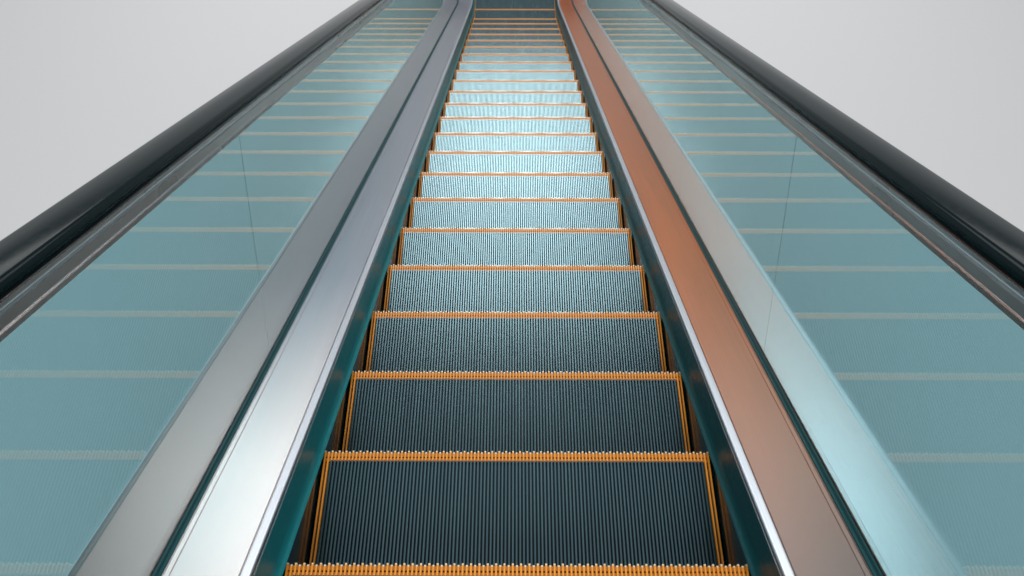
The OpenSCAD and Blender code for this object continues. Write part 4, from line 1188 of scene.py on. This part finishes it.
# %% The comb tooth and its tree
TOOTH_WIDTH = 0.003
COMB_RISE = 0.016
comb_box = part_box("lower_comb_plate")
PLATE_HALF = comb_box[1][0]
tooth_outline = [(-0.088, -0.001), (-0.086, 0.0016), (-0.004, 0.0016), (0.060, -COMB_RISE - 0.005),
                 (0.060, -COMB_RISE - 0.007), (0.016, -COMB_RISE - 0.007), (-0.002, -0.011),
                 (-0.088, -0.004)]
tooth = template("tooth", [(MAIN, plate(tooth_outline, -TOOTH_WIDTH / 2, TOOTH_WIDTH / 2))], comb_metal)

comb_tree, comb_in = new_tree("comb", [("Tooth", "Object"), ("Teeth", "Int"), ("Tooth Pitch", "Float")])
tooth_row = centred_row(comb_tree, comb_in["Teeth"], comb_in["Tooth Pitch"])
teeth = stand_on(comb_tree, tooth_row, shape_of(comb_tree, comb_in["Tooth"]))
combs = stand_on(comb_tree, comb_in["Geometry"], gather(comb_tree, teeth))
finish_tree(comb_tree, combs, {MAIN: comb_metal})
print("tooth:", len(tooth.data.polygons), "faces")

# %% [markdown]
# The comb itself is made in six segments, so that a broken one can be changed alone. They lie
# in front of one back strip, with open joints between them. The upper landing is the lower one
# turned round, so its pieces are made in the same place and then mirrored.

# %% Comb plates
FLOOR_LEVEL = TREAD_LEVEL + COMB_RISE
SEGMENTS = 6
SEGMENT_WIDTH = 2 * PLATE_HALF / SEGMENTS
SEGMENT_GAP = 0.0008


def turned_to_top(mesh):
    """Mirrors a piece of the lower landing to the upper one, with its faces outwards."""
    for corner in mesh.vertices:
        corner.co.y = LOWER_COMB_Y + UPPER_COMB_Y - corner.co.y
        corner.co.z += RISE
    mesh.flip_normals()


def comb_bed():
    """The plate in front of the floor: one back strip and six segments with open joints."""
    low, edge = FLOOR_LEVEL - 0.011, FLOOR_LEVEL - 0.001
    back, strip_end, segment_start = comb_box[0][1], LOWER_COMB_Y - 0.0915, LOWER_COMB_Y - 0.0905
    strip = [(back, low), (back, edge), (back + 0.001, FLOOR_LEVEL),
             (strip_end - 0.001, FLOOR_LEVEL), (strip_end, edge), (strip_end, low)]
    segment = [(segment_start, low), (segment_start, edge), (segment_start + 0.001, FLOOR_LEVEL),
               (LOWER_COMB_Y - 0.004, FLOOR_LEVEL), (LOWER_COMB_Y, FLOOR_LEVEL - 0.003),
               (LOWER_COMB_Y, low)]
    shapes = [plate(strip, -PLATE_HALF, PLATE_HALF)]
    for i in range(SEGMENTS):
        start = -PLATE_HALF + i * SEGMENT_WIDTH
        shapes.append(plate(segment, start + SEGMENT_GAP / 2, start + SEGMENT_WIDTH - SEGMENT_GAP / 2))
    return shapes


for level in ("lower", "upper"):
    comb = grow(f"{level}_comb", [(0, LOWER_COMB_Y, FLOOR_LEVEL)], comb_tree,
                {"Tooth": tooth, "Teeth": 2 * CLEATS_TO_A_SIDE, "Tooth Pitch": CLEAT_PITCH})
    work = bmesh.new()
    work.from_mesh(comb.data)
    work.from_mesh(mesh_of("comb_bed", comb_bed(), comb_metal))
    work.to_mesh(comb.data)
    work.free()
    if level == "upper":
        turned_to_top(comb.data)
    fit(comb, "comb_plate", f"{level}_comb_plate")
    print(comb.name, len(comb.data.polygons), "faces")
bpy.data.objects.remove(tooth)

# %% [markdown]
# ## Screws and rivets
# Screws hold the covers that come off for service: the comb segments and the floor plates.
# The cladding has small round heads of the same kind. One tree makes a head with a dark
# hexagon on top, a thin disc of painted shade that stands for the hollow of its socket, and
# sets it on each point of a list, turned to face the way that the point's own attribute says.

# %% The screw tree
screw_tree, screw_in = new_tree("screws", [("Head Diameter", "Float"), ("Head Height", "Float")])
head_height = screw_in["Head Height"]
head_radius = math_of(screw_tree, "MULTIPLY", screw_in["Head Diameter"], 0.5)
head = put(screw_tree, "GeometryNodeMeshCone", {
    "Vertices": 16, "Radius Bottom": head_radius,
    "Radius Top": math_of(screw_tree, "MULTIPLY", head_radius, 0.78), "Depth": head_height})
# The dark hexagon is a thin disc of painted shade that stands for the socket's hollow.
socket_shade_disc = put(screw_tree, "GeometryNodeMeshCylinder", {
    "Vertices": 6, "Radius": math_of(screw_tree, "MULTIPLY", head_radius, 0.45),
    "Depth": math_of(screw_tree, "MULTIPLY", head_height, 0.1)})
socket_painted_shade = put(screw_tree, "GeometryNodeTransform", {
    "Geometry": socket_shade_disc.outputs["Mesh"],
    "Translation": put(screw_tree, "ShaderNodeCombineXYZ", {2: head_height}).outputs[0]}).outputs[0]
screw = gather(screw_tree, numbered(screw_tree, socket_painted_shade, GROOVE),
               numbered(screw_tree, head.outputs["Mesh"], MAIN))
screws_out = stand_on(screw_tree, screw_in["Geometry"], screw, Rotation=turn_to_facing(screw_tree))
finish_tree(screw_tree, screws_out, {MAIN: screw_steel, GROOVE: groove_paint_and_socket_shade})


def screws(name, slot_name, places, diameter, height):
    """Screw heads on (point, facing) pairs, as one piece."""
    piece = grow(name, [point for point, _ in places], screw_tree,
                 {"Head Diameter": diameter, "Head Height": height}, [way for _, way in places])
    return fit(piece, slot_name)


print("screw tree:", len(screw_tree.nodes), "nodes")

# %% Screws of the landings
UP = (0, 0, 1)
floor_from, floor_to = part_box("lower_floor_plate")[0][1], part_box("lower_floor_plate")[1][1]


def on_landing(x, y, level):
    """A point on the lower landing, or its mirror on the upper one."""
    if level == "upper":
        return x, LOWER_COMB_Y + UPPER_COMB_Y - y, FLOOR_LEVEL + RISE
    return x, y, FLOOR_LEVEL


comb_screws, floor_screws = [], []
for level in ("lower", "upper"):
    for i in range(SEGMENTS):
        middle = -PLATE_HALF + (i + 0.5) * SEGMENT_WIDTH
        comb_screws += [(on_landing(middle + dx, comb_box[0][1] + 0.06, level), UP)
                        for dx in (-0.045, 0.045)]
    for x in (-0.80, -0.40, 0.40, 0.80):
        floor_screws += [(on_landing(x, y, level), UP) for y in (floor_from + 0.03, DECK_END - 0.032)]
screws("comb_screws", "comb_plate", comb_screws, 0.012, 0.0012)
screws("floor_plate_screws", "floor_plate", floor_screws, 0.016, 0.0012)
print("screws:", len(comb_screws), "and", len(floor_screws))

# %% [markdown]
# The cladding is riveted along its upper edge, just under the outer deck. The ends and the
# bends have a rivet at every station of the deck's own line, and the slope between them has
# an even row.

# %% Rivets of the cladding
SLOPE_RIVETS = 27
panel_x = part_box("side_panels_right")[1][0]
slope_start, slope_end = LOWER_KINK_Y + 0.2, UPPER_KINK_Y - 0.3
rivet_points = [(y + 0.012, z - 0.030) for y, z, _ in travel(DECK_HEIGHT, DECK_END, UPPER_DECK_END)]
for i in range(SLOPE_RIVETS):
    y = slope_start + (slope_end - slope_start) * i / (SLOPE_RIVETS - 1)
    rivet_points.append((y, TREAD_LEVEL + DECK_HEIGHT + (y - LOWER_KINK_Y) * math.tan(INCLINE) - 0.040))
rivets = [((side * panel_x, y, z), (side, 0, 0)) for side in SIDES.values() for y, z in rivet_points]
screws("cladding_rivets", "cladding", rivets, 0.010, 0.0015)
print("rivets:", len(rivets))

# %% [markdown]
# The floor plates are aluminium covers with low ribs that run with the traffic. A rib is one
# box, and a small tree repeats it across the plate: one field in front of the deck ends and a
# narrower one between them.

# %% The rib tree
rib_tree, rib_in = new_tree("floor_ribs", [
    ("Ribs", "Int"), ("Rib Pitch", "Float"), ("Rib Width", "Float"), ("Rib Height", "Float"),
    ("Rib Length", "Float")])
rib = box_between(rib_tree, rib_in["Rib Width"], 0.0, rib_in["Rib Length"], 0.0, rib_in["Rib Height"])
rib_row = centred_row(rib_tree, rib_in["Ribs"], rib_in["Rib Pitch"])
rib_field = gather(rib_tree, stand_on(rib_tree, rib_row, numbered(rib_tree, rib, MAIN)))
rib_fields = stand_on(rib_tree, rib_in["Geometry"], rib_field)
finish_tree(rib_tree, rib_fields, {MAIN: landing_plate})
print("rib tree:", len(rib_tree.nodes), "nodes")

# %% Rib fields
RIB_PITCH = 0.010
plate_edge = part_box("lower_floor_plate")[1][0]
fields = [("front", plate_edge - 0.030, floor_from + 0.055, DECK_END - 0.060),
          ("inner", PLATE_HALF - 0.012, DECK_END - 0.012, floor_to - 0.010)]
for level in ("lower", "upper"):
    for field, half, start, end in fields:
        sizes = {"Ribs": int(2 * half / RIB_PITCH), "Rib Pitch": RIB_PITCH, "Rib Width": 0.005,
                 "Rib Height": 0.0008, "Rib Length": end - start}
        ribs = grow(f"{level}_{field}_ribs", [(0, start, FLOOR_LEVEL)], rib_tree, sizes)
        if level == "upper":
            turned_to_top(ribs.data)
        fit(ribs, "floor_plate")
        print(ribs.name, len(ribs.data.polygons), "faces")

# %% [markdown]
# The handrail goes into its housing through a collar, and a brush round the hole keeps
# fingers and dust out. The collar is a flat U of black plastic. A bristle is a thin cone, and
# the tree sets one on every point along the edge of the hole, turned towards the rail, with a
# length that wanders from a fixed seed.

# %% The brush tree
brush_tree, brush_in = new_tree("brush", [
    ("Bristle Length", "Float"), ("Bristle Width", "Float"), ("Seed", "Int")])
width, longest = brush_in["Bristle Width"], brush_in["Bristle Length"]
bristle = put(brush_tree, "GeometryNodeMeshCone", {
    "Vertices": 4, "Radius Bottom": math_of(brush_tree, "MULTIPLY", width, 0.5),
    "Radius Top": math_of(brush_tree, "MULTIPLY", width, 0.3), "Depth": longest}).outputs["Mesh"]
wander = put(brush_tree, "FunctionNodeRandomValue", {"Seed": brush_in["Seed"]}, data_type="FLOAT")
ranges = [socket for socket in wander.inputs if socket.type == "VALUE"]
ranges[0].default_value, ranges[1].default_value = 0.8, 1.05
share = [socket for socket in wander.outputs if socket.type == "VALUE"][0]
brush_out = stand_on(
    brush_tree, brush_in["Geometry"], numbered(brush_tree, bristle, MAIN),
    Rotation=turn_to_facing(brush_tree),
    Scale=put(brush_tree, "ShaderNodeCombineXYZ", {0: 1.0, 1: 1.0, 2: share}).outputs[0])
finish_tree(brush_tree, brush_out, {MAIN: bristle_nylon})
print("brush tree:", len(brush_tree.nodes), "nodes")

# %% [markdown]
# The hole in the collar leaves 6 mm beside and under the handrail, and the bristles are about
# as long, so that they reach the rubber.

# %% Inlet collars and brushes
BRUSH_GAP = 0.006
COLLAR_CORNER = 0.012
COLLAR_FRONT, COLLAR_BACK = NEWEL_Y - 0.006, NEWEL_Y + 0.0026
BRISTLE_STEP = 0.0016
deck_top = TREAD_LEVEL + DECK_HEIGHT
collar_top = TREAD_LEVEL + loop_bottom + GUIDE_INSET - 0.002
hole_half, hole_low = RAIL_HALF + BRUSH_GAP, TREAD_LEVEL + loop_bottom - RAIL_DEPTH - BRUSH_GAP
corner_half, corner_low = hole_half - COLLAR_CORNER, hole_low + COLLAR_CORNER
outer = SLOT_HALF + 0.010
rim_half = [(outer - 0.003, collar_top), (outer, collar_top - 0.003), (outer, deck_top + 0.0005)]
hole_edge = arc((corner_half, corner_low), (COLLAR_CORNER, COLLAR_CORNER), 0, -90, 6)


def collar_shape(side):
    """The U of one collar, thick along Y."""
    right = [(hole_half, collar_top)] + hole_edge
    inside = right + [(-x, z) for x, z in reversed(right)]
    rim = [(-x, z) for x, z in rim_half] + [(x, z) for x, z in reversed(rim_half)]
    points, faces = plate(inside + rim, COLLAR_FRONT, COLLAR_BACK)
    return [(side * (GLASS_X + x), y, z) for y, x, z in points], faces


def brush_places(side):
    """Points along the hole of a collar, each with its way towards the rail."""
    middle, brush_y = side * GLASS_X, NEWEL_Y - 0.002
    places = []
    for i in range(int((collar_top - COLLAR_CORNER - corner_low) / BRISTLE_STEP)):
        for way in (-1, 1):
            places.append(((middle + way * hole_half, brush_y, corner_low + i * BRISTLE_STEP),
                           (-way, 0, 0)))
    for i in range(int(2 * corner_half / BRISTLE_STEP)):
        places.append(((middle - corner_half + i * BRISTLE_STEP, brush_y, hole_low), UP))
    return places


for level in ("lower", "upper"):
    collars = link(f"{level}_inlet_collars",
                   mesh_of("inlet_collars", [collar_shape(side) for side in SIDES.values()], inlet_plastic))
    places = [place for side in SIDES.values() for place in brush_places(side)]
    brushes = grow(f"{level}_inlet_brushes", [point for point, _ in places], brush_tree,
                   {"Bristle Length": 0.0058, "Bristle Width": 0.0009, "Seed": 3},
                   [way for _, way in places])
    for piece in (collars, brushes):
        if level == "upper":
            turned_to_top(piece.data)
        fit(piece, "inlet")
    print(level, "bristles:", len(places))

# %% [markdown]
# The decks end over the floor plate. A flat cap closes the ends of the sheets, the profile and
# the skirt cover, and a small plate closes the slot in the deck in front of the collar.

# %% Caps at the deck ends
cap_in, cap_out = SKIRT_X - COVER_NOSE - 0.001, OUTER_TO - 0.0012
cap_low = FLOOR_LEVEL + 0.0012
cap_outline = ([(cap_in, cap_low), (cap_out, cap_low)]
               + arc((cap_out - 0.003, deck_top - 0.0035), (0.003, 0.003), 0, 90, 4)
               + [(SKIRT_X + NOSE, deck_top - 0.0012)]
               + arc((SKIRT_X + NOSE, deck_top - 0.0012 - NOSE), (NOSE, NOSE), 90, 180, 5)
               + [(SKIRT_X, deck_top - TRIM_DROP), (cap_in + 0.002, deck_top - 0.100),
                  (cap_in, deck_top - 0.104)])
slot_edge = SLOT_HALF - 0.0004
slot_outline = [(GLASS_X - slot_edge, deck_top - 0.003), (GLASS_X - slot_edge, deck_top),
                (GLASS_X + slot_edge, deck_top), (GLASS_X + slot_edge, deck_top - 0.003)]
cap_plates = [plate(cap_outline, DECK_END - 0.0030, DECK_END - 0.0003),
              plate(slot_outline, DECK_END, NEWEL_Y + 0.002)]
for level in ("lower", "upper"):
    shapes = [([(side * x, y, z) for y, x, z in points], faces)
              for side in SIDES.values() for points, faces in cap_plates]
    caps = link(f"{level}_deck_caps", mesh_of("deck_caps", shapes, cladding))
    if level == "upper":
        turned_to_top(caps.data)
    fit(caps, "cladding")
print("caps from", round(cap_in, 3), "to", round(cap_out, 3))

# %% [markdown]
# ## Floor, world and lamps
# The floor is one wide plain sheet. Near the object it keeps the shadows. Far away it passes
# into the tone of the backdrop for every ray that looks at it, straight, through the glass or
# in a reflection, so no horizon shows.

# %% Floor
FLOOR_HALF = 90
BACKDROP = (0.60, 0.62, 0.63, 1)
FADE_MIDDLE, FADE_FROM, FADE_TO = (0, 6.9, 0), 7.5, 27.0


def looked_at(tree, *kinds):
    """1 for a ray of one of the kinds, and 0 for the others."""
    path = put(tree, "ShaderNodeLightPath").outputs
    found = path[kinds[0]]
    for kind in kinds[1:]:
        found = math_of(tree, "MAXIMUM", found, path[kind])
    return found


floor_mesh = bpy.data.meshes.new("floor")
corners = [(-FLOOR_HALF, -FLOOR_HALF), (FLOOR_HALF, -FLOOR_HALF),
           (FLOOR_HALF, FLOOR_HALF), (-FLOOR_HALF, FLOOR_HALF)]
floor_mesh.from_pydata([(x, y, 0) for x, y in corners], [], [(0, 1, 2, 3)])
floor = link("floor", floor_mesh)
floor_finish, floor_shader = plain_finish("floor_pale", (0.60, 0.61, 0.62), 0.0, 0.6)
floor_mesh.materials.append(floor_finish)

floor_tree = floor_finish.node_tree
far_glow = put(floor_tree, "ShaderNodeEmission", {"Color": BACKDROP}).outputs[0]
floor_place = put(floor_tree, "ShaderNodeTexCoord").outputs["Object"]
distance = put(floor_tree, "ShaderNodeVectorMath", {0: floor_place, 1: FADE_MIDDLE},
               operation="DISTANCE").outputs["Value"]
far = put(floor_tree, "ShaderNodeMapRange",
          {"Value": distance, "From Min": FADE_FROM, "From Max": FADE_TO},
          interpolation_type="SMOOTHERSTEP").outputs["Result"]
seen = looked_at(floor_tree, "Is Camera Ray", "Is Transmission Ray", "Is Glossy Ray")
floor_mix = put(floor_tree, "ShaderNodeMixShader", {
    0: math_of(floor_tree, "MULTIPLY", far, seen), 1: floor_shader.outputs[0], 2: far_glow}).outputs[0]
floor_tree.links.new(floor_mix, floor_tree.nodes["Material Output"].inputs["Surface"])
print("the floor fades out between", FADE_FROM, "and", FADE_TO, "m")

# %% [markdown]
# The world gives an even, pale light. What the camera sees of it, straight or through the
# glass, is the plain backdrop instead.

# %% World
world = bpy.data.worlds.new("studio")
bpy.context.scene.world = world
world.use_nodes = True
world_tree = world.node_tree
sky = world_tree.nodes["Background"]
sky.inputs["Color"].default_value = (0.93, 0.97, 1.0, 1)
sky.inputs["Strength"].default_value = 0.38
backdrop = put(world_tree, "ShaderNodeBackground", {"Color": BACKDROP}).outputs[0]
seen = looked_at(world_tree, "Is Camera Ray", "Is Transmission Ray")
choice = put(world_tree, "ShaderNodeMixShader", {0: seen, 1: sky.outputs[0], 2: backdrop}).outputs[0]
world_tree.links.new(choice, world_tree.nodes["World Output"].inputs["Surface"])
bpy.context.scene.view_settings.view_transform = "Standard"
print("world strength:", sky.inputs["Strength"].default_value)

# %% [markdown]
# Metal looks like what it mirrors, so the soft boxes hang where the camera finds them in the
# surfaces. The sheen box and the ramp box hang over the lower end and beyond it, for the treads:
# they make the pale sheen on the middle steps. The horizon box and the side box are far beyond
# the lower end, one for the decks on each side. The key box is high behind the camera.

# %% Lamps


def soft_box(name, place, target, width, height, power, colour=(1, 1, 1)):
    """A rectangular lamp that faces a target."""
    data = bpy.data.lights.new(name, "AREA")
    data.shape = "RECTANGLE"
    data.size = width
    data.size_y = height
    data.energy = power
    data.color = colour
    lamp = link(name, data)
    lamp.location = place
    lamp.rotation_mode = "QUATERNION"
    aim = Vector(target) - Vector(place)
    lamp.rotation_quaternion = aim.to_track_quat("-Z", "Y")


soft_box("sheen_box", (0, -3.6, 12.2), (0, 6, 2.5), 4.5, 5.2, 720, (1.0, 0.95, 0.91))
soft_box("ramp_box", (0, 1.3, 12.6), (0, 7, 3), 4.5, 4.2, 330, (1.0, 0.97, 0.95))
soft_box("horizon_box", (8, -14, 9.5), (0, 10, 5), 10, 5, 600)
soft_box("side_box", (-9, -14, 9.5), (-0.8, 10, 5), 8, 5, 420)
soft_box("key_box", (0, 18, 13), (0, 6, 2), 8, 5, 1150)
print("lamps:", len(bpy.data.lights))
